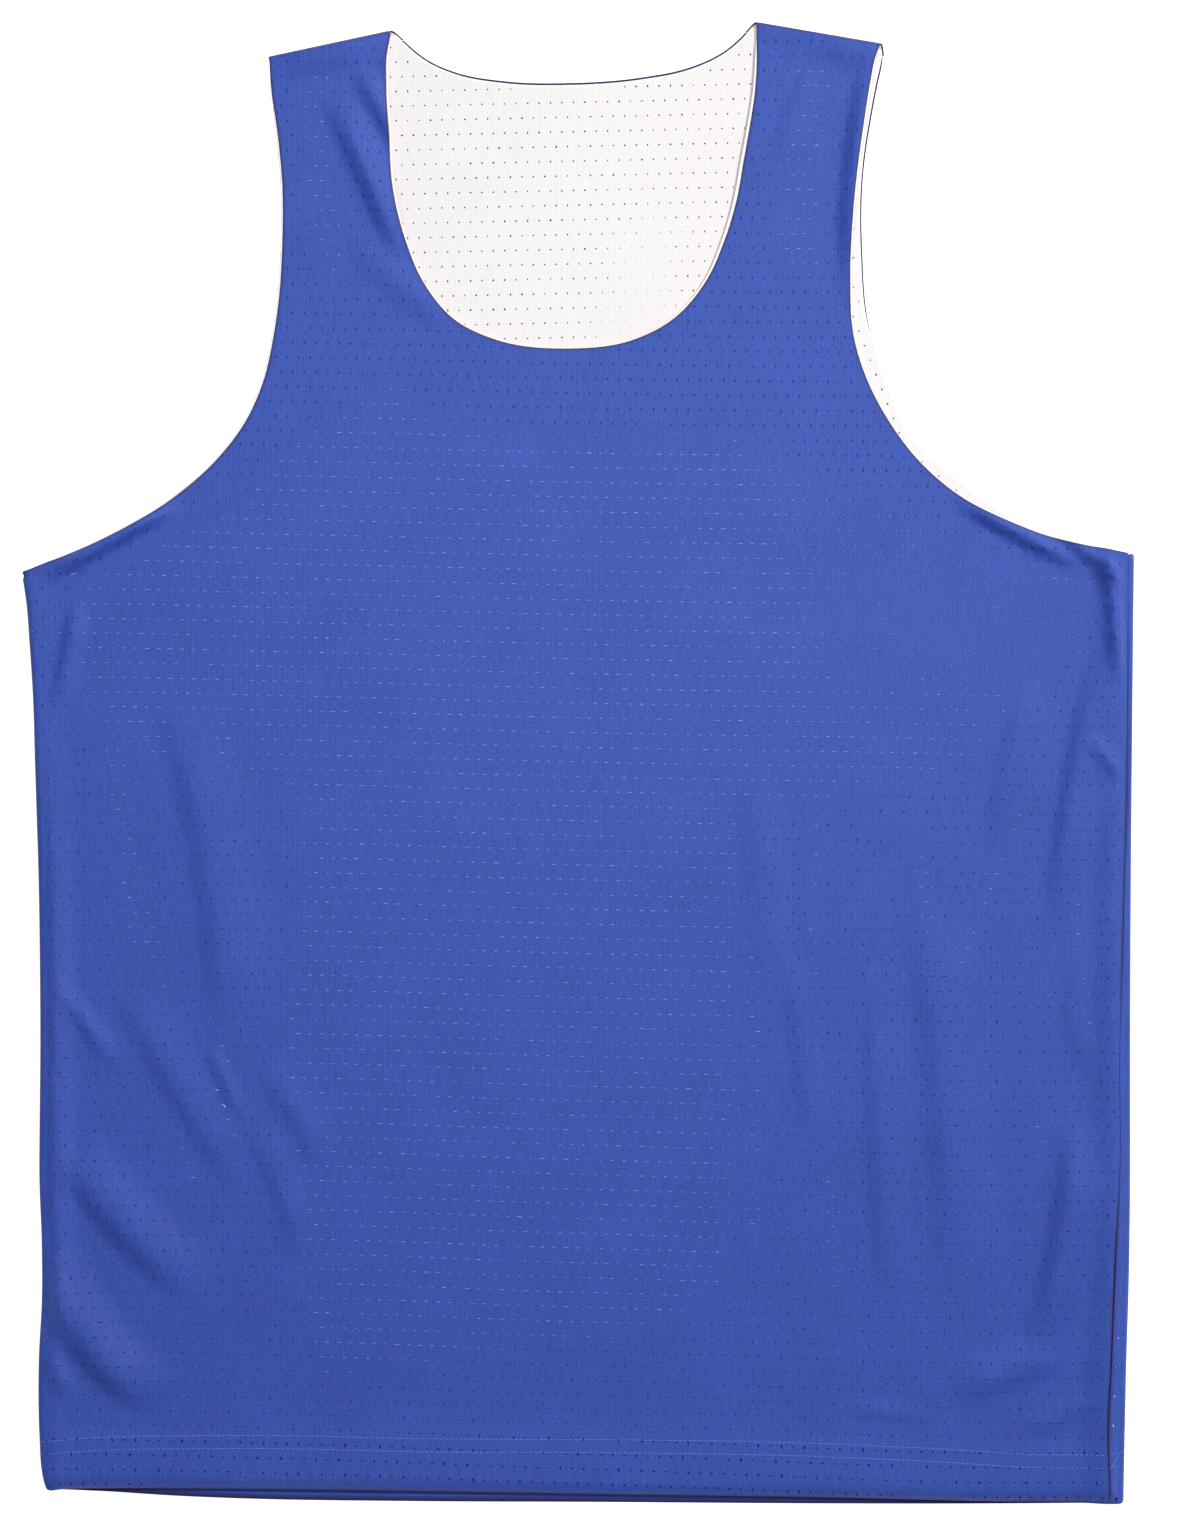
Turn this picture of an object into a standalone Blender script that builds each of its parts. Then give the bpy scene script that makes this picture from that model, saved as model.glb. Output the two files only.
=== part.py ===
"""Reversible basketball jersey, laid flat on its back with the outer side up.

A maker cuts four panels: an outer front and back in blue mesh, and an inner front and back in white
mesh. They are sewn at the sides and shoulders, bagged out at the neck and armholes, and hemmed.
Here each panel is one closed wall, nested 0.3 mm inside its neighbour. All four follow the surface
of the flat hollow inside the garment: a panel's two faces are that surface moved out by the
panel's own offsets. The front panels turn under at the left side and at the shoulders, the back
panels turn up at the right side, and each meets its neighbour at a seam.

Lengths are in millimetres and become metres when a mesh is made. +X is to the right of someone who
looks down at the garment, +Y runs to the neck, and +Z is up from the surface that it lies on.
"""
import math
from collections import namedtuple

import bpy
from mathutils import Vector
from mathutils.geometry import delaunay_2d_cdt

MM = 0.001

# Cloth, and the soft half turn at the side and shoulder folds
WALL = 1.0
GAP = 0.3
TURN_RADIUS = 0.65
TURN_STEPS = 4
HALF_TURN = math.pi * TURN_RADIUS

# Offsets of each layer's two faces from the hollow's surface, and the heights of that surface
INNER_LAYER = (0.0, WALL)
OUTER_LAYER = (WALL + GAP, 2 * WALL + GAP)
STACK = OUTER_LAYER[1]
LOWER_HEIGHT = STACK
UPPER_HEIGHT = STACK + GAP
FOLD_RADIUS = TURN_RADIUS + STACK
EDGE_LIFT = 2 * TURN_RADIUS - GAP
EDGE_LIFT_REACH = 16.0
CREASE_FADE = 9.0

# Hem: the outer front is doubled up to its stitching, and the inner layers stop short of the edge
HEM_DEPTH = 26.0
HEM_EXTRA = 0.5
HEM_STEP = 1.2
INNER_HEM_SHORT = 2.0

# Seams: distance from the garment's own edge to the seam line
SHOULDER_INSET = 6.0
UNDERARM_LEFT = 95.5
UNDERARM_RIGHT = 104.5

# Spacing of points on the drawing
EDGE_SPACING = 13.0
SEAM_SPACING = 34.0
FIELD_SPACING = 44.0
CREASE_SPACING = 24.0
CREASE_CLEARANCE = 6.5
FIELD_CLEARANCE = 26.0
FIELD_HALF_WIDTH = 280.0
FIELD_HALF_LENGTH = 380.0
SLOPE_STEP = 0.25
MERGE_DISTANCE = 0.005
SHARP_EDGE = math.radians(50)

# Share of a ridge's length over which it rises from each end
CREASE_END = 0.35

SidePoint = namedtuple("SidePoint", "y x")
InsetPoint = namedtuple("InsetPoint", "y inset")
EdgePoint = namedtuple("EdgePoint", "x y rim")
HemPoint = namedtuple("HemPoint", "x y")
Crease = namedtuple("Crease", "start middle end half_width height")

# The laid garment's left and right edges
LEFT_SIDE = (
    SidePoint(-366.0, -267.8),
    SidePoint(-350.0, -270.8),
    SidePoint(-300.0, -271.8),
    SidePoint(-250.0, -270.3),
    SidePoint(-150.0, -271.0),
    SidePoint(-82.0, -271.5),
    SidePoint(-20.0, -273.2),
    SidePoint(32.0, -275.0),
    SidePoint(80.0, -277.5),
    SidePoint(96.0, -280.3),
)
RIGHT_SIDE = (
    SidePoint(-373.0, 274.4),
    SidePoint(-345.0, 275.3),
    SidePoint(-290.0, 276.7),
    SidePoint(-220.0, 278.0),
    SidePoint(-145.0, 277.8),
    SidePoint(-70.0, 278.4),
    SidePoint(6.0, 279.1),
    SidePoint(82.0, 279.6),
    SidePoint(105.0, 280.3),
)

# The right seam lies on top, the left seam underneath, each a little way in from the edge
SIDE_SEAM_INSET = (
    InsetPoint(-373.0, 9.4),
    InsetPoint(-230.0, 5.9),
    InsetPoint(-80.0, 3.9),
    InsetPoint(105.0, 3.5),
)

# Edges of the outer front panel, anticlockwise. The inner panel's white edge stands out by the rim.
FRONT_RIGHT_ARMHOLE = (
    EdgePoint(255.0, 110.0, 0.5),
    EdgePoint(223.0, 119.2, 0.8),
    EdgePoint(193.3, 133.3, 0.8),
    EdgePoint(171.0, 153.0, 0.8),
    EdgePoint(156.0, 173.2, 0.8),
    EdgePoint(145.4, 193.3, 0.8),
    EdgePoint(138.8, 213.5, 0.8),
    EdgePoint(136.6, 245.0, 0.8),
    EdgePoint(138.6, 282.0, 0.8),
    EdgePoint(143.0, 320.0, 0.8),
    EdgePoint(147.2, 346.0, 0.4),
)
FRONT_NECK = (
    EdgePoint(90.6, 352.0, 0.8),
    EdgePoint(88.4, 325.0, 1.6),
    EdgePoint(84.4, 304.3, 2.0),
    EdgePoint(80.3, 284.2, 2.0),
    EdgePoint(74.3, 264.0, 1.8),
    EdgePoint(65.2, 243.8, 1.4),
    EdgePoint(47.0, 223.6, 1.0),
    EdgePoint(28.4, 213.7, 0.9),
    EdgePoint(-6.5, 208.9, 0.9),
    EdgePoint(-40.8, 213.5, 0.9),
    EdgePoint(-61.9, 223.4, 0.9),
    EdgePoint(-78.6, 243.8, 0.8),
    EdgePoint(-87.2, 264.0, 0.8),
    EdgePoint(-93.6, 290.0, 0.8),
    EdgePoint(-96.8, 325.0, 0.8),
    EdgePoint(-97.2, 352.0, 0.4),
)
FRONT_LEFT_ARMHOLE = (
    EdgePoint(-153.6, 341.0, 0.5),
    EdgePoint(-150.2, 314.4, 1.2),
    EdgePoint(-148.2, 289.2, 1.2),
    EdgePoint(-148.2, 262.0, 1.2),
    EdgePoint(-149.7, 236.2, 1.2),
    EdgePoint(-153.3, 213.5, 1.2),
    EdgePoint(-157.9, 193.3, 1.2),
    EdgePoint(-166.9, 173.2, 1.2),
    EdgePoint(-182.5, 153.0, 1.2),
    EdgePoint(-205.2, 132.8, 1.2),
    EdgePoint(-239.5, 112.6, 0.8),
    EdgePoint(-264.2, 102.0, 0.4),
)
# Edges of the outer back panel. A rim below zero leaves a line of blue outside the white.
BACK_RIGHT_ARMHOLE = (
    EdgePoint(256.0, 108.6, 0.2),
    EdgePoint(235.2, 114.6, 0.4),
    EdgePoint(209.5, 129.0, 0.5),
    EdgePoint(186.3, 146.8, 0.5),
    EdgePoint(168.1, 164.1, 0.5),
    EdgePoint(159.0, 183.3, 0.4),
    EdgePoint(151.5, 204.9, 0.2),
    EdgePoint(146.6, 222.0, -0.3),
    EdgePoint(143.6, 255.0, -0.6),
    EdgePoint(143.9, 296.3, -0.6),
    EdgePoint(147.9, 324.5, -0.6),
    EdgePoint(152.3, 343.0, -0.4),
)
BACK_NECK = (
    EdgePoint(80.8, 364.4, -0.4),
    EdgePoint(69.2, 355.8, -0.7),
    EdgePoint(56.6, 350.0, -0.7),
    EdgePoint(31.4, 345.4, -0.7),
    EdgePoint(-4.4, 342.9, -0.7),
    EdgePoint(-35.7, 343.5, -0.7),
    EdgePoint(-62.0, 348.2, -0.7),
    EdgePoint(-74.6, 353.8, -0.6),
    EdgePoint(-84.1, 361.0, -0.4),
)
# The back's left armhole edge lies hidden just inside the front's
HIDDEN_EDGE_INSET = 1.0

FRONT_HEM = (
    HemPoint(-255.0, -366.0),
    HemPoint(-188.0, -366.5),
    HemPoint(-90.0, -367.2),
    HemPoint(13.0, -368.9),
    HemPoint(122.0, -370.3),
    HemPoint(200.0, -372.0),
)
BACK_HEM = (
    HemPoint(-240.0, -366.8),
    HemPoint(-201.7, -369.2),
    HemPoint(-162.8, -370.7),
    HemPoint(-89.7, -371.7),
    HemPoint(13.2, -372.2),
    HemPoint(122.2, -373.0),
    HemPoint(230.0, -373.4),
)
HEM_LEFT = -365.6
HEM_RIGHT = -373.2

# Soft ridges of the front. They stand up between the two ends and die out towards them.
CREASES = (
    # left strap and neck edge
    Crease((-118, 336), (-104, 300), (-85, 268), 9, 3.2),
    Crease((-112, 350), (-104, 336), (-96, 322), 8, 2.4),
    Crease((-95, 258), (-78, 240), (-54, 222), 12, 1.6),
    # right strap, along the armhole edge
    Crease((146, 350), (139, 300), (134, 240), 9, 2.6),
    # underarms
    Crease((-262, 101), (-228, 114), (-188, 142), 9, 3.2),
    Crease((-250, 84), (-216, 101), (-172, 128), 10, 1.6),
    Crease((186, 139), (220, 121), (262, 104), 9, 3.4),
    Crease((262, 98), (267, 66), (270, 30), 8, 3.0),
    Crease((-252, 80), (-254, 57), (-259, 30), 9, 2.2),
    # left side, from under the arm to the hem
    Crease((-214, 42), (-180, -69), (-170, -168), 15, 2.6),
    Crease((-264, -108), (-249, -127), (-229, -150), 9, 1.8),
    Crease((-228, -125), (-198, -160), (-162, -207), 12, 3.0),
    Crease((-180, -158), (-158, -193), (-132, -242), 10, 2.2),
    Crease((-258, -196), (-228, -228), (-190, -265), 13, 3.8),
    Crease((-268, -248), (-245, -286), (-212, -325), 13, 4.0),
    # right side
    Crease((244, 44), (221, 2), (203, -50), 13, 2.0),
    Crease((263, 52), (252, -14), (243, -75), 11, 2.4),
    Crease((164, -40), (185, -150), (197, -250), 15, 2.8),
    Crease((162, -145), (151, -210), (155, -275), 12, 2.2),
    Crease((118, -108), (127, -185), (134, -285), 12, 1.6),
    Crease((88, 10), (93, -70), (95, -132), 15, 1.6),
    Crease((257, -180), (242, -243), (225, -296), 13, 2.8),
    Crease((190, -315), (218, -307), (242, -290), 10, 3.0),
    Crease((229, -329), (250, -317), (266, -306), 8, 2.0),
)


def smooth_step(value):
    """0 up to 0, 1 from 1 on, and an S between."""
    value = min(1.0, max(0.0, value))
    return value * value * (3.0 - 2.0 * value)


def slopes(positions, values):
    """Slope of a smooth curve at each of its points, for evenly or unevenly spaced points."""
    steps = [(values[i + 1] - values[i]) / (positions[i + 1] - positions[i])
             for i in range(len(values) - 1)]
    result = [steps[0]]
    for i in range(1, len(values) - 1):
        before = positions[i] - positions[i - 1]
        after = positions[i + 1] - positions[i]
        result.append((steps[i - 1] * after + steps[i] * before) / (before + after))
    result.append(steps[-1])
    return result


def curve_value(positions, values, tangents, index, part):
    """Value on the curve, `part` of the way from point `index` to the next."""
    span = positions[index + 1] - positions[index]
    squared = part * part
    cubed = squared * part
    return ((2 * cubed - 3 * squared + 1) * values[index]
            + (cubed - 2 * squared + part) * span * tangents[index]
            + (3 * squared - 2 * cubed) * values[index + 1]
            + (cubed - squared) * span * tangents[index + 1])


def value_at(rows, position):
    """Second column of a table at a place in its first column, which rises; ends are held."""
    positions = [row[0] for row in rows]
    values = [row[1] for row in rows]
    if position <= positions[0]:
        return values[0]
    if position >= positions[-1]:
        return values[-1]
    index = max(i for i in range(len(positions) - 1) if positions[i] <= position)
    part = (position - positions[index]) / (positions[index + 1] - positions[index])
    return curve_value(positions, values, slopes(positions, values), index, part)


def smooth_curve(rows, spacing):
    """Points about `spacing` apart on a smooth curve through the rows; every column is kept."""
    positions = [0.0]
    for before, after in zip(rows, rows[1:]):
        positions.append(positions[-1] + math.hypot(after[0] - before[0], after[1] - before[1]))
    columns = [[row[i] for row in rows] for i in range(len(rows[0]))]
    tangents = [slopes(positions, column) for column in columns]
    points = [tuple(rows[0])]
    for index in range(len(rows) - 1):
        count = max(1, round((positions[index + 1] - positions[index]) / spacing))
        for step in range(1, count + 1):
            points.append(tuple(curve_value(positions, column, tangent, index, step / count)
                                for column, tangent in zip(columns, tangents)))
    return points


def spaced(start, end, spacing):
    """Evenly spaced numbers from start to end, both included."""
    count = max(1, round(abs(end - start) / spacing))
    return [start + (end - start) * step / count for step in range(count + 1)]


def moved_out(points, distances):
    """An anticlockwise edge moved outwards, by its own distance at each point."""
    result = []
    for index, (x, y) in enumerate(points):
        before = points[max(0, index - 1)]
        after = points[min(len(points) - 1, index + 1)]
        run = math.hypot(after[0] - before[0], after[1] - before[1])
        result.append((x + (after[1] - before[1]) / run * distances[index],
                       y - (after[0] - before[0]) / run * distances[index]))
    return result


class Shoulder:
    """A slanted shoulder fold. `along` runs from neck to armhole, `beyond` up past the turn's start."""

    def __init__(self, neck_end, arm_end, neck_lean, arm_lean):
        run = Vector(arm_end) - Vector(neck_end)
        self.length = run.length
        self.along = run.normalized()
        self.out = Vector((-self.along.y, self.along.x))
        if self.out.y < 0.0:
            self.out = -self.out
        self.corner = Vector(neck_end) - self.out * FOLD_RADIUS
        self.neck_lean = neck_lean
        self.arm_lean = arm_lean

    def point(self, along, beyond):
        place = self.corner + self.along * along + self.out * beyond
        return (place.x, place.y)

    def measure(self, x, y):
        offset = Vector((x, y)) - self.corner
        return offset.dot(self.along), offset.dot(self.out)

    def ends(self, beyond):
        """The cloth's extent along the fold at a distance past the turn's start."""
        return self.neck_lean * beyond, self.length + self.arm_lean * beyond

    def row(self, beyond, place, reverse):
        """Points across the cloth, from neck to armhole, drawn at `place` past the turn's start."""
        neck, arm = self.ends(beyond)
        row = [self.point(along, place) for along in spaced(neck, arm, EDGE_SPACING)]
        return row[::-1] if reverse else row


LEFT_SHOULDER = Shoulder((-94.9, 369.3), (-155.2, 356.4), neck_lean=-0.75, arm_lean=0.1)
RIGHT_SHOULDER = Shoulder((90.6, 373.4), (153.4, 362.6), neck_lean=-0.75, arm_lean=0.3)

SEAM_BEYOND = HALF_TURN + SHOULDER_INSET - FOLD_RADIUS - GAP / 2
BACK_SEAM_BEYOND = -(SHOULDER_INSET - FOLD_RADIUS + GAP / 2)
TURN_LEVELS = [HALF_TURN * step / TURN_STEPS for step in range(TURN_STEPS + 1)]


def left_start(y):
    """Where the left turn starts, in from the garment's edge."""
    return value_at(LEFT_SIDE, y) + FOLD_RADIUS


def right_start(y):
    """Where the right turn starts, in from the garment's edge."""
    return value_at(RIGHT_SIDE, y) - FOLD_RADIUS


def seam_strip(y):
    """Width of cloth between the end of a side turn and the seam."""
    return value_at(SIDE_SEAM_INSET, y) - FOLD_RADIUS


def shoulder_at(x):
    return LEFT_SHOULDER if x < 0.0 else RIGHT_SHOULDER


def crease_height(crease, x, y):
    """Height of one ridge: a rounded section, along a curve that bows from a straight line."""
    run = (crease.end[0] - crease.start[0], crease.end[1] - crease.start[1])
    length = math.hypot(*run)
    along = (run[0] / length, run[1] / length)
    part = ((x - crease.start[0]) * along[0] + (y - crease.start[1]) * along[1]) / length
    if not 0.0 < part < 1.0:
        return 0.0
    side = (y - crease.start[1]) * along[0] - (x - crease.start[0]) * along[1]
    away = abs(side - crease_bow(crease) * 4.0 * part * (1.0 - part)) / crease.half_width
    if away >= 1.0:
        return 0.0
    ends = smooth_step(part / CREASE_END) * smooth_step((1.0 - part) / CREASE_END)
    return crease.height * ends * math.cos(away * math.pi / 2) ** 2


def crease_bow(crease):
    """How far the middle of a ridge lies to the left of the line from its start to its end."""
    run = (crease.end[0] - crease.start[0], crease.end[1] - crease.start[1])
    length = math.hypot(*run)
    return ((crease.middle[1] - crease.start[1]) * run[0]
            - (crease.middle[0] - crease.start[0]) * run[1]) / length


def crease_points(crease):
    """Points of the drawing that carry one ridge's shape."""
    run = Vector(crease.end) - Vector(crease.start)
    side = Vector((-run.y, run.x)).normalized()
    count = max(3, round(run.length / CREASE_SPACING))
    points = []
    for step in range(count + 1):
        part = step / count
        crest = Vector(crease.start) + run * part + side * crease_bow(crease) * 4.0 * part * (1.0 - part)
        for across in (0.0, -0.5, 0.5, -1.0, 1.0):
            place = crest + side * across * crease.half_width
            points.append((place.x, place.y))
    return points


def lift(x, y):
    """How far the upper side of the hollow stands above the flat stack."""
    inward = [x - left_start(y), right_start(y) - x, -shoulder_at(x).measure(x, y)[1]]
    nearest = max(0.0, min(inward))
    edge = EDGE_LIFT * (1.0 - smooth_step(nearest / EDGE_LIFT_REACH))
    ridges = sum(crease_height(crease, x, y) for crease in CREASES)
    return edge + ridges * smooth_step(nearest / CREASE_FADE)


def upper_place(x, y):
    """A point on the upper side of the hollow, with the direction out of it."""
    slope_x = (lift(x + SLOPE_STEP, y) - lift(x - SLOPE_STEP, y)) / (2 * SLOPE_STEP)
    slope_y = (lift(x, y + SLOPE_STEP) - lift(x, y - SLOPE_STEP)) / (2 * SLOPE_STEP)
    return Vector((x, y, UPPER_HEIGHT + lift(x, y))), Vector((-slope_x, -slope_y, 1.0)).normalized()


def lower_place(x, y):
    """A point on the lower side of the hollow, with the direction out of it."""
    return Vector((x, y, LOWER_HEIGHT)), Vector((0.0, 0.0, -1.0))


def turned(beyond):
    """Shift out, turn outwards and turn over of a point some way past the start of a half turn."""
    angle = min(beyond / TURN_RADIUS, math.pi)
    shift = TURN_RADIUS * math.sin(angle) - max(0.0, beyond - HALF_TURN)
    return shift, math.sin(angle), math.cos(angle)


def front_place(x, y):
    """Where a point of the front's flat drawing lies on the hollow, and the direction out of it."""
    middle_height = LOWER_HEIGHT + TURN_RADIUS
    beyond = left_start(y) - x
    if beyond > 0.0:
        shift, out, up = turned(beyond)
        place = Vector((left_start(y) - shift, y, middle_height + TURN_RADIUS * up))
        return place, Vector((-out, 0.0, up))
    shoulder = shoulder_at(x)
    along, beyond = shoulder.measure(x, y)
    if beyond > 0.0:
        shift, out, up = turned(beyond)
        place = Vector((*shoulder.point(along, shift), middle_height + TURN_RADIUS * up))
        return place, Vector((shoulder.out.x * out, shoulder.out.y * out, up))
    return upper_place(x, y)


def back_place(x, y):
    """The same for the back's drawing, which turns up at the right."""
    beyond = x - right_start(y)
    if beyond <= 0.0:
        return lower_place(x, y)
    shift, out, up = turned(beyond)
    if beyond > HALF_TURN:
        return upper_place(right_start(y) + shift, y)
    place = Vector((right_start(y) + shift, y, LOWER_HEIGHT + TURN_RADIUS * (1.0 - up)))
    return place, Vector((out, 0.0, -up))


class Drawing:
    """Flat drawing of a panel: lines, loose points, and the outlines of its two layers."""

    def __init__(self):
        self.points = []
        self.lines = []

    def add_line(self, points, closed=False):
        first = len(self.points)
        self.points.extend(points)
        self.lines.extend((first + i, first + i + 1) for i in range(len(points) - 1))
        if closed:
            self.lines.append((first + len(points) - 1, first))

    def add_loose(self, points, clearance):
        """Adds points that are clear of all the others."""
        for point in points:
            if all(math.dist(point, other) > clearance for other in self.points):
                self.points.append(point)

    def triangles(self):
        result = delaunay_2d_cdt([Vector(point) for point in self.points], self.lines, [], 0,
                                 MERGE_DISTANCE)
        corners = [tuple(corner) for corner in result[0]]
        return corners, [tuple(face) for face in result[2]]


def inside(outline, x, y):
    """Whether a point is inside a closed outline."""
    crossings = 0
    for (x0, y0), (x1, y1) in zip(outline, outline[1:] + outline[:1]):
        if (y0 > y) != (y1 > y) and x < x0 + (y - y0) * (x1 - x0) / (y1 - y0):
            crossings += 1
    return crossings % 2 == 1


def edge_between(start, rows, end, inner):
    """A panel's curved edge between two seam ends, with the inner layer's rim if asked."""
    curve = smooth_curve([(*start, 0.0), *rows, (*end, 0.0)], EDGE_SPACING)
    points = [(x, y) for x, y, rim in curve]
    rims = [rim if inner else 0.0 for x, y, rim in curve]
    rims[0] = 0.0
    rims[-1] = 0.0
    return moved_out(points, rims)[1:-1]


def raised(points, height):
    return [(x, y + height) for x, y in points]


def side_stations(top, bottom):
    """Heights of the points down a side, which both panels of a seam share."""
    stations = spaced(top, bottom + HEM_DEPTH, SEAM_SPACING)
    return stations + [bottom + HEM_DEPTH - HEM_STEP, bottom + INNER_HEM_SHORT, bottom]


def side_levels(start, direction, top, bottom):
    """Lines down a side turn: at each step of the turn, and at the seam beyond it."""
    stations = side_stations(top, bottom)
    rows = [[(start(y) + direction * level, y) for y in stations] for level in TURN_LEVELS]
    rows.append([(start(y) + direction * (HALF_TURN + seam_strip(y) - GAP / 2), y)
                 for y in stations])
    return rows


def seam_side(seam, top, bottom, inner):
    """Points down a panel's plain seam side, without the one at its hem."""
    stations = side_stations(top, bottom)[:-2 if inner else -1]
    return [(seam(y), y) for y in stations]


def shoulder_levels(shoulder):
    """Lines across a shoulder turn, and the seam beyond it."""
    rows = [shoulder.row(level, level, False) for level in TURN_LEVELS]
    rows.append(shoulder.row(SEAM_BEYOND, SEAM_BEYOND, False))
    return rows


def front_seam(y):
    """The front's side of the right seam."""
    return right_start(y) - seam_strip(y) - GAP / 2


def front_hem():
    """Rows of the front's hem edge, from the left turn to the right seam."""
    return [HemPoint(left_start(HEM_LEFT), HEM_LEFT), *FRONT_HEM,
            HemPoint(front_seam(HEM_RIGHT), HEM_RIGHT)]


def front_outline(inner):
    """Anticlockwise outline of a front panel, from the left seam's hem end."""
    short = INNER_HEM_SHORT if inner else 0.0
    side = side_levels(left_start, -1.0, UNDERARM_LEFT, HEM_LEFT)
    right = shoulder_levels(RIGHT_SHOULDER)
    left = shoulder_levels(LEFT_SHOULDER)
    hem = smooth_curve(front_hem(), 2 * EDGE_SPACING)
    seam = seam_side(front_seam, UNDERARM_RIGHT, HEM_RIGHT, inner)
    outline = [(row[-1][0], row[-1][1] + short) for row in side[::-1]]
    outline += raised(hem[1:], short)
    outline += seam[::-1]
    outline += edge_between(seam[0], FRONT_RIGHT_ARMHOLE, right[0][-1], inner)
    outline += [row[-1] for row in right[:-1]] + right[-1][::-1] + [row[0] for row in right[-2::-1]]
    outline += edge_between(right[0][0], FRONT_NECK, left[0][0], inner)
    outline += [row[0] for row in left[:-1]] + left[-1] + [row[-1] for row in left[-2::-1]]
    outline += edge_between(left[0][-1], FRONT_LEFT_ARMHOLE, side[0][0], inner)
    outline += [row[0] for row in side[:-1]] + side[-1][:-2]
    outline += [] if inner else [side[-1][-2]]
    return outline


def back_left_seam(y):
    """The back's side of the left seam."""
    return left_start(y) + seam_strip(y) + GAP / 2


def back_outline(inner):
    """Anticlockwise outline of a back panel, from the left seam's hem end."""
    short = INNER_HEM_SHORT if inner else 0.0
    side = side_levels(right_start, 1.0, UNDERARM_RIGHT, HEM_RIGHT)
    right = RIGHT_SHOULDER.row(SEAM_BEYOND, BACK_SEAM_BEYOND, True)
    left = LEFT_SHOULDER.row(SEAM_BEYOND, BACK_SEAM_BEYOND, False)
    hem_start = (back_left_seam(HEM_LEFT), HEM_LEFT)
    hem = smooth_curve([hem_start, *BACK_HEM, side[0][-1]], 2 * EDGE_SPACING)
    seam = seam_side(back_left_seam, UNDERARM_LEFT, HEM_LEFT, inner)
    hidden_edge = [point._replace(rim=-HIDDEN_EDGE_INSET) for point in FRONT_LEFT_ARMHOLE]
    outline = raised(hem, short)
    outline += [(row[-1][0], row[-1][1] + short) for row in side[1:]]
    outline += side[-1][-3::-1]
    outline += [row[0] for row in side[-2::-1]]
    outline += edge_between(side[0][0], BACK_RIGHT_ARMHOLE, right[0], inner)
    outline += right
    outline += edge_between(right[-1], BACK_NECK, left[0], inner)
    outline += left
    outline += edge_between(left[-1], hidden_edge, seam[0], True)
    outline += seam
    return outline


def field_points():
    """Loose points spread evenly over the panels, in staggered rows."""
    row_height = FIELD_SPACING * math.sqrt(3) / 2
    rows = round(FIELD_HALF_LENGTH / row_height)
    columns = round(FIELD_HALF_WIDTH / FIELD_SPACING)
    points = []
    for row in range(-rows, rows + 1):
        shift = FIELD_SPACING / 2 if row % 2 else 0.0
        points.extend((column * FIELD_SPACING + shift, row * row_height)
                      for column in range(-columns, columns + 1))
    return points


def keep_inside(points, outline):
    return [point for point in points if inside(outline, *point)]


def front_drawing():
    drawing = Drawing()
    outer = front_outline(False)
    inner = front_outline(True)
    drawing.add_line(outer, closed=True)
    drawing.add_line(inner, closed=True)
    for row in side_levels(left_start, -1.0, UNDERARM_LEFT, HEM_LEFT)[:-1]:
        drawing.add_line(row)
    for shoulder in (LEFT_SHOULDER, RIGHT_SHOULDER):
        for row in shoulder_levels(shoulder)[:-1]:
            drawing.add_line(row)
    hem = smooth_curve(front_hem(), 3 * EDGE_SPACING)
    drawing.add_line(raised(hem, HEM_DEPTH))
    drawing.add_line(raised(hem, HEM_DEPTH - HEM_STEP))
    ridge_points = [point for crease in CREASES for point in crease_points(crease)]
    drawing.add_loose(keep_inside(ridge_points, outer), CREASE_CLEARANCE)
    drawing.add_loose(keep_inside(field_points(), outer), FIELD_CLEARANCE)
    return drawing, outer, inner


def back_drawing():
    drawing = Drawing()
    outer = back_outline(False)
    inner = back_outline(True)
    drawing.add_line(outer, closed=True)
    drawing.add_line(inner, closed=True)
    for row in side_levels(right_start, 1.0, UNDERARM_RIGHT, HEM_RIGHT)[:-1]:
        drawing.add_line(row)
    drawing.add_loose(keep_inside(field_points(), outer), FIELD_CLEARANCE)
    return drawing, outer, inner


def hem_extra(x, y):
    """Extra thickness of the front's doubled hem, on its upper side."""
    if x < left_start(y):
        return 0.0
    hem_height = value_at(front_hem(), x)
    return HEM_EXTRA if y < hem_height + HEM_DEPTH - HEM_STEP / 2 else 0.0


def cloth_material(name, colour):
    material = bpy.data.materials.new(name)
    material.use_nodes = True
    shader = material.node_tree.nodes["Principled BSDF"]
    shader.inputs["Base Color"].default_value = (*colour, 1.0)
    shader.inputs["Roughness"].default_value = 0.75
    shader.inputs["Metallic"].default_value = 0.0
    return material


def wall_object(name, corners, faces, place, offsets, extra, material):
    """One panel: its drawing's triangles on both faces of the wall, joined round the edge."""
    used = sorted({corner for face in faces for corner in face})
    number = {corner: index for index, corner in enumerate(used)}
    nearer = []
    farther = []
    for corner in used:
        point, out = place(*corners[corner])
        nearer.append((point + out * offsets[0]) * MM)
        farther.append((point + out * (offsets[1] + extra(*corners[corner]))) * MM)
    shift = len(used)
    near_faces = [tuple(number[corner] for corner in face[::-1]) for face in faces]
    far_faces = [tuple(number[corner] + shift for corner in face) for face in faces]
    sides = {(face[i], face[(i + 1) % 3]) for face in faces for i in range(3)}
    rim_faces = []
    for start, end in sorted(sides):
        if (end, start) not in sides:
            low_start, low_end = number[start], number[end]
            rim_faces.append((low_start, low_end, low_end + shift))
            rim_faces.append((low_start, low_end + shift, low_start + shift))
    mesh = bpy.data.meshes.new(name)
    mesh.from_pydata(nearer + farther, [], near_faces + far_faces + rim_faces)
    mesh.update()
    mesh.shade_smooth()
    mesh.set_sharp_from_angle(angle=SHARP_EDGE)
    panel = bpy.data.objects.new(name, mesh)
    panel.data.materials.append(material)
    bpy.context.scene.collection.objects.link(panel)
    return panel


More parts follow.
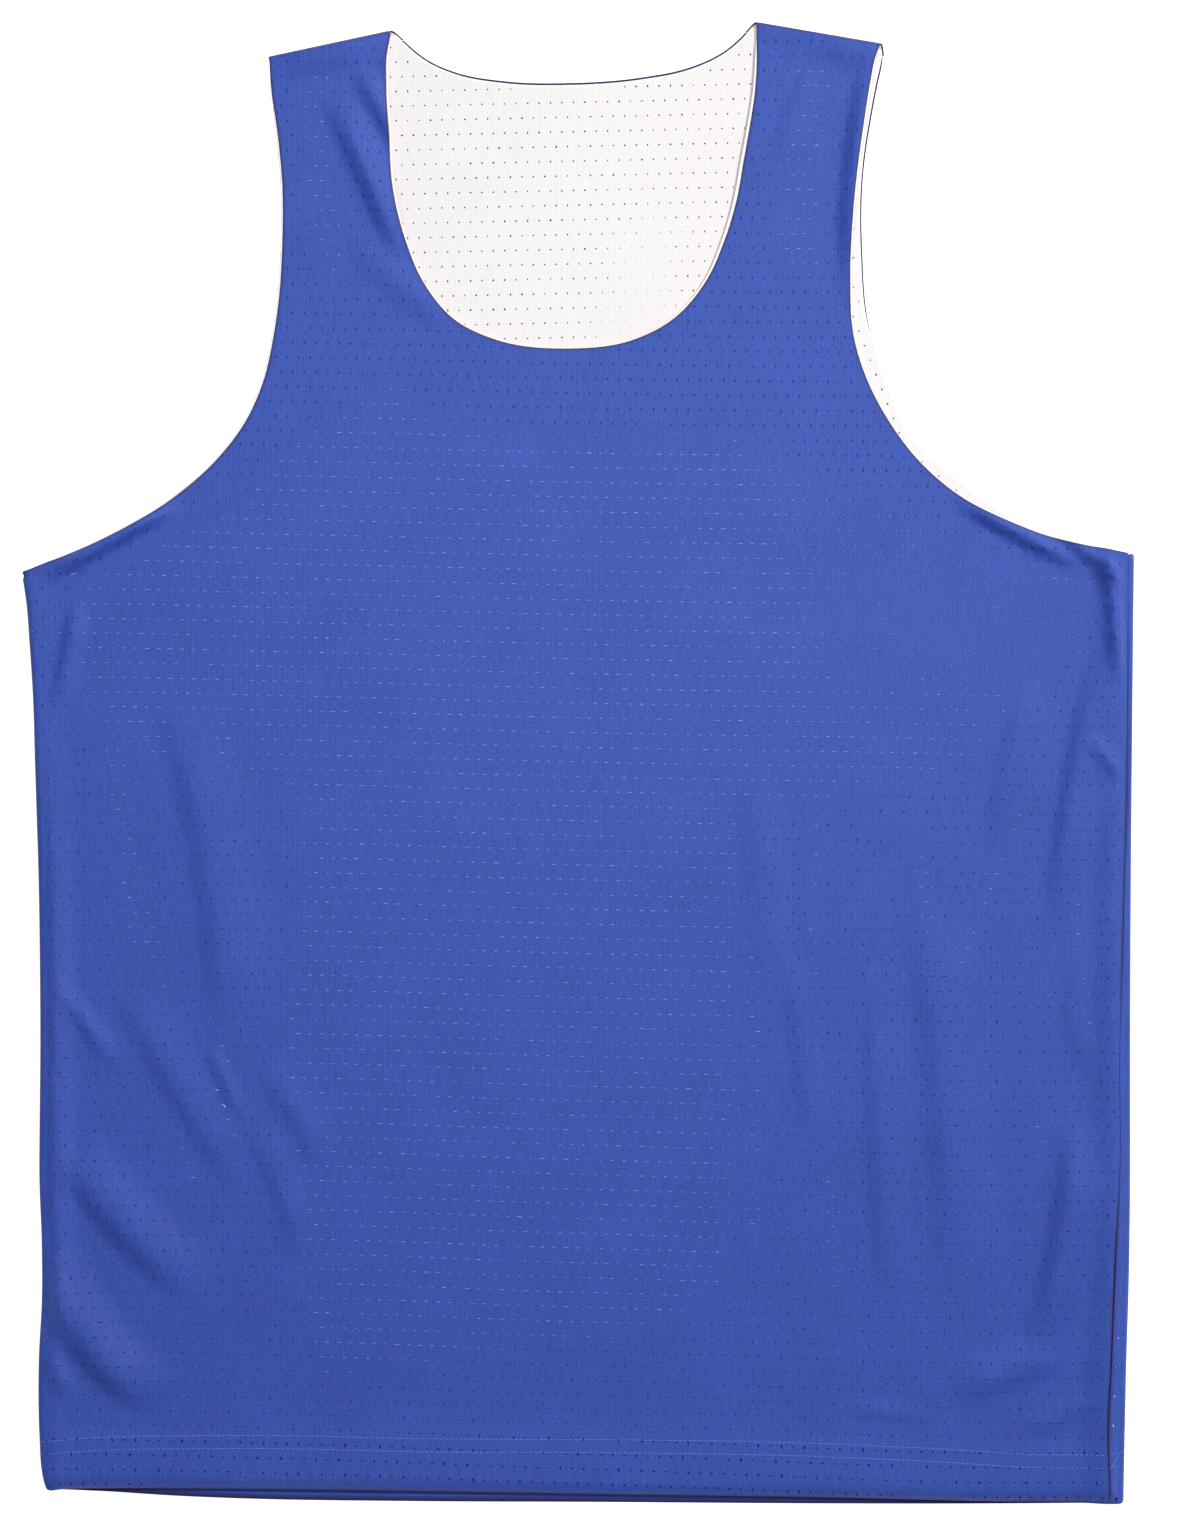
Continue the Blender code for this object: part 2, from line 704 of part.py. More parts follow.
def panel_pair(side, drawing_parts, place, turn_over, outer_extra, outer_cloth, inner_cloth):
    """The outer and inner panel of one side, from one drawing."""
    drawing, outer, inner = drawing_parts
    corners, faces = drawing.triangles()
    if turn_over:
        faces = [face[::-1] for face in faces]
    layers = (("outer", outer, OUTER_LAYER, outer_extra, outer_cloth),
              ("inner", inner, INNER_LAYER, lambda x, y: 0.0, inner_cloth))
    for layer, outline, offsets, extra, cloth in layers:
        kept = []
        for face in faces:
            middle_x = sum(corners[corner][0] for corner in face) / 3
            middle_y = sum(corners[corner][1] for corner in face) / 3
            if inside(outline, middle_x, middle_y):
                kept.append(face)
        wall_object(f"{side}_{layer}", corners, kept, place, offsets, extra, cloth)


def clear_scene():
    for item in list(bpy.data.objects):
        bpy.data.objects.remove(item)


def build_jersey():
    clear_scene()
    blue = cloth_material("blue_mesh_cloth", (0.054, 0.104, 0.479))
    white = cloth_material("white_mesh_cloth", (0.86, 0.85, 0.89))
    panel_pair("front", front_drawing(), front_place, False, hem_extra, blue, white)
    panel_pair("back", back_drawing(), back_place, True, lambda x, y: 0.0, blue, white)


build_jersey()
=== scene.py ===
"""Looks of a reversible basketball jersey laid flat on a pale floor, blue side up.

Each packed panel is replaced by a thin pin-hole mesh cloth on the same form: a flat drawing of the
panel, with its holes, is triangulated and laid on the surface of the garment's flat hollow. Two
layers lie on each side, blue outside and white inside. Lengths are in millimetres and become metres
when a mesh is made. +X is to the right, +Y runs to the neck and +Z is up from the floor.
"""
import math
from collections import namedtuple

import bpy
import numpy as np
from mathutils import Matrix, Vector
from mathutils.geometry import delaunay_2d_cdt


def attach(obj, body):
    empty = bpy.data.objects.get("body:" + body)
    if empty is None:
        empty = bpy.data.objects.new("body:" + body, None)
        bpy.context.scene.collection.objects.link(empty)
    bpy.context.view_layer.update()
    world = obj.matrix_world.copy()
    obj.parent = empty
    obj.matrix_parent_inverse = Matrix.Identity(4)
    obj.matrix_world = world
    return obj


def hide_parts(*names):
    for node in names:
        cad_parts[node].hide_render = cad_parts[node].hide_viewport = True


MM = 0.001

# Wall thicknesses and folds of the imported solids
WALL = 1.0
GAP = 0.3
STACK = 2 * WALL + GAP
TURN_RADIUS = 0.65
HALF_TURN = math.pi * TURN_RADIUS
LOWER_HEIGHT = STACK
UPPER_HEIGHT = STACK + GAP
FOLD_RADIUS = TURN_RADIUS + STACK
EDGE_LIFT = 2 * TURN_RADIUS - GAP
EDGE_LIFT_REACH = 16.0
SEAM_REACH = 2.0
SEAM_CLOSE = 0.13
SHOULDER_TOP = 2.5
SHOULDER_RISE_REACH = 12.0
SHOULDER_LEAN_IN = 0.14
SIDE_ROLL_HEIGHT = 2.6
SIDE_ROLL_REACH = 7.0
SIDE_ROLL_FADE = 14.0
RIDGE_FADE = 4.5
RIDGE_END = 0.35

# Colours of the cloths, the thread, the floor and the lights
BLUE = (0.038, 0.0845, 0.403)
WHITE = (0.86, 0.818, 0.78)
# The white seen through the blue's holes: darker and tinted blue, a painted blue light and shade
WHITE_UNDER_BLUE_PAINTED_LIGHT = (0.44, 0.53, 0.85)
# Painted shade: what the colour is multiplied by at a rolled edge, and inside a hole. On the white the
# edge value is a painted highlight, and the hole value a painted shade at the bead's outer side
BLUE_PAINTED_EDGE_SHADE = (0.60, 0.18, 0.20)
BLUE_PAINTED_HOLE_SHADE = (0.05, 0.15, 0.95)
WHITE_PAINTED_HIGHLIGHT = (1.18, 1.18, 1.18)
WHITE_PAINTED_SHADE = (0.84, 0.72, 0.74)
THREAD = (0.10, 0.21, 0.63)
FLOOR_COLOUR = (0.5, 0.5, 0.5)
FLOOR_GLOW = 1.0
KEY_COLOUR = (1.05, 1.02, 0.94)
SURROUND_COLOUR = (0.83, 0.93, 1.24)

FLOOR_HALF_WIDTH = 3000.0

# Lights: a far key low at the upper right, a nearer soft box overhead, and a pale surround
KEY_POWER = 205.0
KEY_SIZE = 1050.0
KEY_PLACE = (2910.0, 2820.0, 3900.0)
BOX_POWER = 2.5
BOX_SIZE = 500.0
BOX_PLACE = (100.0, 200.0, 800.0)
BOX_TARGET = (50.0, 400.0, 0.0)
SURROUND_STRENGTH = 0.31

# Seams and hem
SHOULDER_INSET = 6.0
UNDERARM_LEFT = 97.2
UNDERARM_RIGHT = 105.9
HEM_LEFT = -366.2
HEM_RIGHT = -372.9
HEM_DEPTH = 26.0
HEM_EXTRA = 0.25
HEM_STEP = 3.0
HEM_DIP = 4.1
HEM_DIP_REACH = 8.0
HEM_STEP_ABOVE_STITCHING = 1.0
INNER_HEM_SHORT = 3.0
LINING_HEM_SHORT = 8.0
HEM_SWELL = 1.8
HEM_SWELL_REACH = 45.0
LEFT_TIP_FALL = 2.3
RIGHT_TIP_FALL = 1.2
LEFT_CORNER_RISE = 1.7
RIGHT_CORNER_RISE = 1.3
HIDDEN_EDGE_INSET = 1.0
LINING_BELOW_FOLD = 0.3
# The front covers the lining below this height, where its holes are plain
LINING_HIDDEN_BELOW = 40.0
BLUE_SHOWS_AT_NECK = 1.0

# Where the thin cloths lie, as distances out from the hollow's surface
OUTER_SKIN = 2.2
INNER_LOW = 1.0
INNER_CLOSE = 1.99
LINING_SKIN = 0.05
APART_AT_EDGES = 7.0
EDGE_START = 0.5
CREASE_APART = 1.8
CREASE_START = 0.3
RISE_APART = 2.0
# Around the touching field the inner layer lies this part of the way up, and some holes show it
RESTING_PART = 0.6
MIXED_PART = 0.75
MIXED_FROM = -0.1
Wave = namedtuple("Wave", "step wander wander_step")
ACROSS_WAVE = Wave(1.7, 0.9, 0.31)
UPWARD_WAVE = Wave(0.83, 1.3, 0.047)
MIXED_TOP = 150.0
MIXED_FADE = 20.0

# The hem's turned-up facing
FACING_BEHIND = 0.8
FACING_ROWS = 6
FACING_END = 1.0

# Pin-hole mesh
HOLE_SIDES = 6
# Painted shade inside the front's dark holes, stronger in the hem band
HOLE_SHADE = 0.36
HEM_HOLE_SHADE = 1.0
HOLE_EDGE_CLEARANCE = 1.9
HOLE_LINE_CLEARANCE = 1.2
HOLE_VARIATION = 0.16
LARGEST_VARIATION = 2.0
SEED = 23
PITCH = 5.86
LINING_PITCH = 5.76
ROW_PITCH = 7.40
SPARE_HOLES = 3

# Holes of the front's blue cloth: a dark one's size, and how one that shows white differs. Their
# sides (funnels) have a width and height at the far end, as parts of the hole's, and a depth.
HOLE_HALF_WIDTH = 0.58
HOLE_HALF_HEIGHT = 0.88
WHITE_HOLE_WIDER = 0.72
WHITE_HOLE_LOWER = 0.56
FUNNEL_END = 0.06
FUNNEL_DEPTH = 0.6
WHITE_FUNNEL_WIDER = 0.84
WHITE_FUNNEL_HIGHER = 0.30
WHITE_FUNNEL_SHALLOWER = 0.46
# The plain holes of the other cloths: half width and half height
FRONT_INNER_HOLES = (0.5, 0.6)
BACK_OUTER_HOLES = (0.6, 0.75)
LINING_HOLES = (0.52, 0.6)
# The sides of the lining's holes: width, height and depth, and their shade
LINING_FUNNELS = (0.7, 0.7, 0.4, 0.0)

OUTLINE_SPACING = 3.0
EDGE_POINT_SPACING = 2.6
EDGE_POINT_DEPTHS = (1.3, 2.8, 4.4, 6.2, 8.2)
EDGE_POINT_CLEARANCE = 0.9
EDGE_POINT_KEPT = 0.9
LINE_END_CLEARANCE = 2.0
MERGE_DISTANCE = 0.001
TURN_STEPS = 8
# Painted shade at the outermost line of the shoulder folds and of the left side turn, and where a rolled
# edge starts
SHOULDER_SHADE = 1.0
SIDE_SHADE = 0.6
EDGE_START_SHADE = 0.35
CLOTH_MAP = "cloth"
SHADE = "shade"
# Depths of the bump of knitted loops and of twisted thread, in metres
KNIT_HEIGHT = 0.00012
THREAD_HEIGHT = 0.0001
# Streaks of the knit across and along the cloth, to the metre
STREAK_SCALE = (900.0, 60.0, 1.0)

# View straight down from far off: middle, height of the camera, and size of what it sees
VIEW_MIDDLE = (11.2, 0.88)
VIEW_DISTANCE = 2500.0
VIEW_HEIGHT = 768.35
VIEW_END = 20000.0
SENSOR_HEIGHT = 24.0

Ridge = namedtuple("Ridge", "start middle end shaded lit height")
Strip = namedtuple("Strip", "start middle end half_width")
Mesh = namedtuple("Mesh", "pitch shift lean fall")
Layer = namedtuple("Layer", "name place turn_depth skin edge roll faces_in lines mesh hole_size"
                            " funnel funnels_above seam shade")


def table(columns, *rows):
    """Rows of numbers with named columns."""
    row = namedtuple("Row", columns)
    return tuple(row(*map(float, numbers)) for numbers in rows)


# The rolled edge of a cloth, row by row: distance out from the skin's edge, part of the rim passed,
# depth behind the skin, how far a rim stands proud of it, and its painted shade: above 0 a rolled
# edge's (on the white, a painted highlight) and below 0 a hole's
ROLL_OUT = 0.46
ROLL = table(
    "out rim_part behind proud shade",
    (0.28, 0, 0.05, 0, 1),
    (0.46, 0, 0.28, 0, 1),
    (0.46, 0, 0.6, 0, 1),
    (0.26, 0, 0.84, 0, 1),
    (-0.3, 0, 0.9, 0, 1),
    (-2.2, 0, 0.9, 0, 0.5),
)
# The white layer's edge is a full bead that shows past the blue one
# Its top takes a painted highlight and its outer side a painted shade
BEAD = table(
    "out rim_part behind proud shade",
    (0.46, 0, 0.03, 0, 0),
    (0.46, 0.06, 0.08, 0.25, 1),
    (0.46, 0.25, 0.1, 0.55, 1),
    (0.46, 0.55, 0.1, 0.62, 1),
    (0.46, 0.8, 0.12, 0.5, 0.6),
    (0.46, 0.96, 0.16, 0.2, 0),
    (0.46, 1, 0.4, 0, -1),
    (0.3, 0.8, 0.5, 0, -1),
    (-1.2, 0, 0.55, 0, 0),
)
BEAD_FULL_RIM = 0.5

# How far the rows of holes fall, across the jersey: near the hem, and near the neck
ROW_FALLS = table(
    "x low high",
    (-270, -2.3, -1.2), (-216, -1.5, -0.6), (-155, 0, 0.9), (-95, 1.8, 2.2), (-34, 4.3, 3.7),
    (26, 6.2, 4.9), (87, 8.4, 5.7), (147, 10.9, 6.1), (208, 12.3, 7.6), (270, 12.1, 8.7),
)
ROW_FALL_TOP = 150.0
ROW_FALL_DEPTH = 464.0
ROW_FALL_ABOVE = 0.006
ROW_FALL_POWER = 1.3

LEFT_SIDE = table(
    "y x",
    (-366, -268.3), (-357, -270.2), (-341, -271.3), (-300, -271.7), (-270, -270.2), (-240, -270.3),
    (-210, -271.4), (-180, -271.3), (-150, -271), (-90, -271.3), (-60, -271.8), (-20, -273),
    (2, -273.7), (32, -274.6), (62, -276.5), (80, -277.9), (97, -280.4),
)
RIGHT_SIDE = table(
    "y x",
    (-373, 275.1), (-345, 275.6), (-290, 276.9), (-265, 277.7), (-220, 278.4), (-145, 278.5),
    (-84, 278.7), (6, 279.4), (67, 280), (105, 280.4),
)
SIDE_SEAM_INSET = table(
    "y inset",
    (-373, 7.5), (-362, 8), (-346, 8.8), (-326, 9), (-306, 8.4), (-266, 8), (-245, 7.5),
    (-225, 6.5), (-205, 5.8), (-145, 5.9), (-104, 4.8), (-64, 4), (-30, 3.3), (105, 3.3),
)
# How dark the painted shade along the line of the right seam is
SEAM_SHADES = table(
    "y shade",
    (-373, 0.6), (-345, 0.9), (-300, 1), (-240, 0.9), (-205, 0.1), (-125, 0.05), (-104, 0.6),
    (-60, 0.7), (-20, 0.5), (20, 0.1), (60, 0), (105, 0),
)

# Edges of the outer panels, anticlockwise. The white layer stands out past the blue by the rim.
FRONT_RIGHT_ARMHOLE = table(
    "x y rim",
    (270.5, 107.1, 0.2), (264.5, 108.3, 0.3), (255, 109.8, 0.5), (243.3, 112.4, 0.7),
    (223, 119.3, 0.8), (193.3, 133.9, 0.8), (171, 153, 0.8), (156, 173.2, 0.8), (145.5, 193.3, 0.8),
    (139.15, 213.5, 0.8), (137, 245, 0.8), (138.8, 282, 0.8), (143.5, 320, 0.8), (147.5, 345, 0.8),
    (149.4, 354.6, 0.5),
)
FRONT_NECK = table(
    "x y rim",
    (90.3, 352, 1.4), (89.4, 338, 1.6), (87.5, 325, 1.7), (83.9, 304.3, 2), (80.3, 284.2, 2),
    (74.3, 264, 1.8), (65.3, 243.8, 1.4), (47.5, 223.2, 1), (28.4, 213.3, 0.9), (-6.5, 208.7, 0.9),
    (-40.8, 213, 0.9), (-62.3, 223.4, 0.9), (-78.8, 243.8, 0.8), (-87.1, 264, 0.9),
    (-93.3, 290, 1.1), (-95.5, 322, 1.3), (-96.7, 344, 1.3), (-96.5, 356, 1.3),
)
FRONT_LEFT_ARMHOLE = table(
    "x y rim",
    (-154.3, 341, 0.5), (-150.6, 314.4, 1.2), (-148.5, 289.2, 1.2), (-148.6, 262, 1.2),
    (-150.1, 236.2, 1.2), (-153.3, 213.5, 1.2), (-157.9, 193.3, 1.2), (-166.7, 173, 1.2),
    (-182.1, 152.6, 1.2), (-205, 132.7, 1.2), (-239.3, 112.5, 0.8), (-258, 104.6, 0.5),
    (-268, 101, 0.3),
)
BACK_RIGHT_ARMHOLE = table(
    "x y rim",
    (266, 106.8, 0.1), (256, 108.6, 0.2), (235.2, 114.6, 0.4), (209.5, 129, 0.5),
    (186.3, 146.8, 0.5), (168.1, 164.1, 0.5), (159, 183.3, 0.4), (151.5, 204.9, 0.2),
    (146.6, 222, -0.5), (143.6, 255, -0.8), (143.9, 296.3, -0.8), (148.3, 327, -0.9),
    (151.4, 343, -0.9), (153.2, 351, -0.9), (154.3, 357.5, -0.9),
)
BACK_NECK = table(
    "x y rim",
    (81.8, 365.7, -1), (74.3, 359.4, -1), (69.2, 356.3, -1.05), (56.6, 351, -1.15),
    (31.4, 345.8, -1.2), (-4.4, 343.1, -1.2), (-35.7, 343.9, -1.2), (-62, 348.6, -1.1),
    (-74.6, 354, -1), (-81.6, 358.9, -1), (-84.65, 361.6, -1),
)
FRONT_HEM = table(
    "x y",
    (-257, -365.7), (-245, -365.5), (-188, -365.7), (-90, -366.9), (13, -368.5), (122, -370),
    (200, -371.8),
)
BACK_HEM = table(
    "x y",
    (-240, -367.1), (-201.7, -369.5), (-162.8, -371), (-89.7, -372.1), (13.2, -372.6),
    (122.2, -373.3), (190, -373.4), (235, -373.2),
)

# How far a shoulder's ends move past its straight ends, at distances past the turn's start
LEFT_LEANS = table(
    "beyond neck arm",
    (0, 0, 0),
    (1, -1, 0.1),
    (1.7, -2.9, 0.2),
    (2.04, -3.9, 0.2),
    (4.94, -5.9, 0.5),
)
RIGHT_LEANS = table(
    "beyond neck arm",
    (0, 0, -1.5),
    (1, -1, 0),
    (1.7, -2.6, 0.9),
    (2.04, -3.4, 1.3),
    (4.94, -5.2, 2.1),
)

# How much higher than the side turns the shoulder folds stand, across the jersey
SHOULDER_RISES = table(
    "x height",
    (-156, 0), (-148, 0.6), (-140, 1.9), (-124, 2.8), (-110, 2.4), (-100, 0.9), (-92, 0), (110, 0),
    (122, 1), (134, 2.2), (147, 1.4), (158, 0),
)

# Creases of the front: each is a soft ridge, steeper on the flank that faces down and to the left
RIDGES = (
    # left strap: under the shoulder fold, then down along the neck edge
    Ridge((-113, 352), (-99, 330), (-87, 306), 8, 8, 3.0),
    Ridge((-126, 340), (-106, 297), (-86, 250), 9, 14, 5.0),
    Ridge((-118, 268), (-90, 241), (-58, 215), 11, 14, 1.6),
    # right strap, along the armhole edge and near the fold
    Ridge((151, 366), (139.5, 296), (138, 226), 9, 6, 4.8),
    Ridge((120, 352), (109, 329), (100, 305), 7, 10, 1.2),
    # underarms
    Ridge((-272, 91), (-246, 106), (-198, 132), 6, 8, 7.0),
    Ridge((-252, 86), (-256.5, 56), (-264, 26), 5.5, 9, 2.8),
    Ridge((186, 136), (224, 115), (258, 97), 7, 8, 5.4),
    Ridge((226, 128), (256, 107), (282, 86), 7, 7, 4.2),
    Ridge((264, 122), (269.5, 82), (272.5, 34), 6.5, 6, 4.6),
    Ridge((256, 14), (266, 3), (274, -10), 6, 6, 2.4),
    # left side, from under the arm to the hem
    Ridge((-212, 52), (-185, -53), (-178, -163), 13, 30, 2.3),
    Ridge((-266, -108), (-249, -130), (-232, -156), 6, 9, 1.8),
    Ridge((-234, -106), (-203, -161), (-164, -222), 10, 22, 1.8),
    Ridge((-188, -140), (-178, -160), (-168, -182), 6, 7, 1.6),
    Ridge((-162, -148), (-143, -176), (-126, -208), 8, 14, 1.2),
    Ridge((-172, -170), (-152, -208), (-136, -258), 9, 14, 1.3),
    Ridge((-262, -189), (-227, -235), (-186, -272), 13, 24, 3.8),
    Ridge((-268, -246), (-246, -293), (-208, -326), 13, 24, 5.2),
    Ridge((-272, -292), (-264, -305), (-256, -322), 6, 7, 1.8),
    Ridge((-264, 20), (-263, -170), (-262, -362), 7, 12, 2.4),
    # right side
    Ridge((267, 66), (251, -8), (240, -92), 10, 18, 4.4),
    Ridge((231, 50), (218, 2), (206, -46), 9, 14, 2.0),
    Ridge((262, -70), (250, -105), (262, -165), 9, 10, 1.2),
    Ridge((171, -52), (184, -162), (190, -282), 14, 28, 2.5),
    Ridge((150, -90), (152, -190), (160, -295), 10, 16, 1.8),
    Ridge((104, -90), (113, -140), (116, -200), 9, 14, 1.2),
    Ridge((88, 10), (93, -70), (95, -132), 12, 17, 1.2),
    Ridge((250, -170), (247, -228), (226, -305), 12, 20, 5.0),
    Ridge((186, -318), (220, -306), (250, -296), 11, 18, 2.4),
    Ridge((222, -338), (247, -327), (268, -314), 8, 9, 1.4),
    Ridge((128, -325), (154, -327), (182, -330), 5, 6, 0.8),
)

# The direction across a ridge that its lit flank faces
LIT_FLANK = (0.7, 0.7)

# Outline of the middle of the front, where the layers touch and the white shows in the holes
TOUCHING_FIELD = (
    (-120, 178), (-97, 196), (-69, 173), (-9, 163), (62, 163), (79, 168), (112, 148), (163, 128),
    (208, 110), (262, 92), (260, 76), (250, 60), (240, 42), (222, 22), (200, 2), (168, -12),
    (120, -20), (86, -32), (80, -69), (82, -160), (76, -262), (40, -291), (-39, -296),
    (-80, -306), (-130, -311), (-144, -271), (-148, -170), (-150, -119), (-140, -49),
    (-150, -10), (-180, -14), (-215, 0), (-235, 16),
    (-248, 34), (-253, 60), (-254, 84), (-246, 97), (-206, 115), (-170, 133), (-145, 163),
)
FIELD_FADE = 9.0
STRIP_END = 0.12
STRIP_FULL = 1.6

# Narrow strips at the sides where the layers touch again
TOUCHING_STRIPS = (
    Strip((-236, 52), (-228, -29), (-201, -135), 10),
    Strip((-176, 2), (-180, -145), (-173, -225), 8),
    Strip((89, 2), (88, -99), (89, -261), 8),
    Strip((165, -19), (183, -114), (198, -286), 8),
    Strip((223, -9), (205, -69), (183, -119), 7),
    Strip((256, 2), (251, -69), (261, -160), 7),
    Strip((122, -19), (120, -70), (120, -119), 5),
    Strip((127, -190), (128, -240), (130, -281), 7),
    Strip((153, -195), (156, -225), (152, -261), 6),
    Strip((236, -170), (233, -190), (231, -210), 6),
    Strip((-203, -180), (-198, -200), (-190, -221), 7),
    Strip((-264, -94), (-264, -170), (-266, -250), 5),
    Strip((-134, 362), (-131, 305), (-119, 235), 13),
    Strip((122, 362), (114, 305), (112, 240), 18),
    Strip((-269, 70), (-269, 20), (-266, -40), 5),
    Strip((-238, 20), (-228, -30), (-222, -110), 12),
)

# Hem stitching of the front: the upper row, with the lower one a needle gauge below it
FRONT_STITCHING = table(
    "x y",
    (-272, -341.9), (-266, -341.3), (-240, -339.4), (-201.2, -338.6), (-149.7, -338.5),
    (-89.7, -339.9), (13.2, -340.6), (70.2, -341.2), (122.2, -342.5), (157, -344), (188, -345.5),
    (228.1, -348), (266, -348),
)
# Threads on the back's turned strip past the right seam: from the seam towards the edge
STRIP_THREADS = table(
    "start_in start_y end_in end_y pitch",
    (5.2, -347.5, -0.4, -346.9, 2.4),
    (5.2, -354.2, -0.4, -353.7, 2.4),
    (-0.5, -346.8, 4.6, -354.1, 1.7),
)
NEEDLE_GAUGE = 6.5
STITCH_LENGTH = 2.0
STITCH_PITCH = 2.5
STITCH_WIDTH = 0.45
STITCH_HEIGHT = 0.22
STITCH_UNEVEN = 0.15
STITCH_SIDES = 6
STITCH_AHEAD = 0.1
STITCH_PROFILE = table(
    "along size",
    (-0.5, 0.35), (-0.42, 0.8), (-0.2, 1), (0.2, 1), (0.42, 0.8), (0.5, 0.35),
)


def smooth_step(value):
    """0 up to 0, 1 from 1 on, and an S between."""
    value = np.clip(value, 0.0, 1.0)
    return value * value * (3.0 - 2.0 * value)


def column(rows, index):
    return np.array([row[index] for row in rows], float)


def curve_value(positions, values, where):
    """A smooth curve through the values, read at places along it; ends are held."""
    spans = np.diff(positions)
    steps = np.diff(values) / spans
    tangents = np.concatenate([
        steps[:1],
        (steps[:-1] * spans[1:] + steps[1:] * spans[:-1]) / (spans[:-1] + spans[1:]),
        steps[-1:]])
    where = np.clip(where, positions[0], positions[-1])
    index = np.clip(np.searchsorted(positions, where, side="right") - 1, 0, len(spans) - 1)
    span = spans[index]
    part = (where - positions[index]) / span
    squared = part * part
    cubed = squared * part
    return ((2 * cubed - 3 * squared + 1) * values[index]
            + (cubed - 2 * squared + part) * span * tangents[index]
            + (3 * squared - 2 * cubed) * values[index + 1]
            + (cubed - squared) * span * tangents[index + 1])


def value_at(rows, where, values=1):
    """A table's second or other column, at places in its first."""
    return curve_value(column(rows, 0), column(rows, values), np.asarray(where, float))


def run_lengths(line):
    """Distance along a line at each of its points."""
    return np.concatenate([[0.0], np.cumsum(np.hypot(*np.diff(line, axis=0).T))])


def smooth_curve(rows):
    """Evenly spaced points on a smooth curve through the rows; every column is kept."""
    numbers = np.array(rows, float)
    positions = run_lengths(numbers[:, :2])
    stations = spaced(0.0, positions[-1])
    return np.stack([curve_value(positions, values, stations) for values in numbers.T], axis=1)


def points_at(stations, lengths, line):
    """Points on a line at distances along it."""
    return np.stack([np.interp(stations, lengths, values) for values in line.T], axis=1)


def spaced(start, end):
    return np.linspace(start, end, max(2, round(abs(end - start) / OUTLINE_SPACING) + 1))


def moved_out(points, distances, closed=False):
    """An anticlockwise line moved outwards, by its own distance at each point."""
    if closed:
        run = np.roll(points, -1, axis=0) - np.roll(points, 1, axis=0)
    else:
        run = np.gradient(points, axis=0)
    run = run / np.linalg.norm(run, axis=1, keepdims=True)
    return points + np.stack([run[:, 1], -run[:, 0]], axis=1) * np.reshape(distances, (-1, 1))


class Shoulder:
    """A slanted shoulder fold. `along` runs from neck to armhole, `beyond` up past the turn's start."""

    def __init__(self, neck_end, arm_end, leans):
        run = np.subtract(arm_end, neck_end)
        self.length = np.hypot(*run)
        self.along = run / self.length
        self.out = np.array([-self.along[1], self.along[0]])
        if self.out[1] < 0.0:
            self.out = -self.out
        self.corner = np.array(neck_end) - self.out * FOLD_RADIUS
        self.leans = leans

    def points(self, along, beyond):
        return self.corner + np.multiply.outer(along, self.along) + np.multiply.outer(beyond, self.out)

    def beyond(self, x, y):
        return (x - self.corner[0]) * self.out[0] + (y - self.corner[1]) * self.out[1]

    def along_at(self, x, y):
        return (x - self.corner[0]) * self.along[0] + (y - self.corner[1]) * self.along[1]

    def row(self, beyond, place, inset=0.0):
        """Points across the cloth, from neck to armhole, drawn at `place` past the turn's start."""
        stations = column(self.leans, 0)
        along = spaced(np.interp(beyond, stations, column(self.leans, 1)) + inset,
                       self.length + np.interp(beyond, stations, column(self.leans, 2)) - inset)
        return self.points(along, np.full(len(along), place))


LEFT_SHOULDER = Shoulder((-94.9, 369.3), (-155.9, 356.2), LEFT_LEANS)
RIGHT_SHOULDER = Shoulder((90.6, 373.6), (153.4, 362.8), RIGHT_LEANS)
SHOULDERS = (LEFT_SHOULDER, RIGHT_SHOULDER)
SEAM_BEYOND = HALF_TURN + SHOULDER_INSET - FOLD_RADIUS - GAP / 2
BACK_SEAM_BEYOND = -(SHOULDER_INSET - FOLD_RADIUS + GAP / 2)
TURN_LEVELS = np.linspace(0.0, HALF_TURN, TURN_STEPS + 1)


def left_start(y):
    """Where the left turn starts, in from the garment's edge."""
    return value_at(LEFT_SIDE, y) + FOLD_RADIUS


def right_start(y):
    return value_at(RIGHT_SIDE, y) - FOLD_RADIUS


def seam_strip(y):
    """Width of cloth between the end of a side turn and the seam."""
    return value_at(SIDE_SEAM_INSET, y) - FOLD_RADIUS


def front_seam(y):
    return right_start(y) - seam_strip(y) - GAP / 2


def back_seam(y):
    return left_start(y) + seam_strip(y) + GAP / 2


def under_seam(y):
    """The front's side of the left seam, past its turn."""
    return left_start(y) - HALF_TURN - seam_strip(y) + GAP / 2


def over_seam(y):
    """The back's side of the right seam, past its turn."""
    return right_start(y) + HALF_TURN + seam_strip(y) - GAP / 2


def shoulder_beyond(x, y):
    """Distance past the start of the nearer shoulder turn."""
    return np.where(x < 0.0, LEFT_SHOULDER.beyond(x, y), RIGHT_SHOULDER.beyond(x, y))


def along_and_off(start, middle, end, x, y):
    """Part of the way along a bowed line, and the signed distance from it, to the left."""
    run = np.subtract(end, start)
    length = np.hypot(*run)
    along = run / length
    bow = (middle[1] - start[1]) * along[0] - (middle[0] - start[0]) * along[1]
    part = ((x - start[0]) * along[0] + (y - start[1]) * along[1]) / length
    side = (y - start[1]) * along[0] - (x - start[0]) * along[1]
    return part, side - bow * 4.0 * part * (1.0 - part), along


def ridge_height(ridge, x, y):
    """Height of one ridge, with a rounded section that is steeper on its shaded flank."""
    part, off, along = along_and_off(ridge.start, ridge.middle, ridge.end, x, y)
    left_is_lit = -along[1] * LIT_FLANK[0] + along[0] * LIT_FLANK[1] > 0.0
    lit_side = off > 0.0 if left_is_lit else off < 0.0
    away = np.clip(np.abs(off) / np.where(lit_side, ridge.lit, ridge.shaded), 0.0, 1.0)
    ends = smooth_step(part / RIDGE_END) * smooth_step((1.0 - part) / RIDGE_END)
    return ridge.height * ends * np.cos(away * math.pi / 2) ** 2


def creases(x, y):
    return sum(ridge_height(ridge, x, y) for ridge in RIDGES)


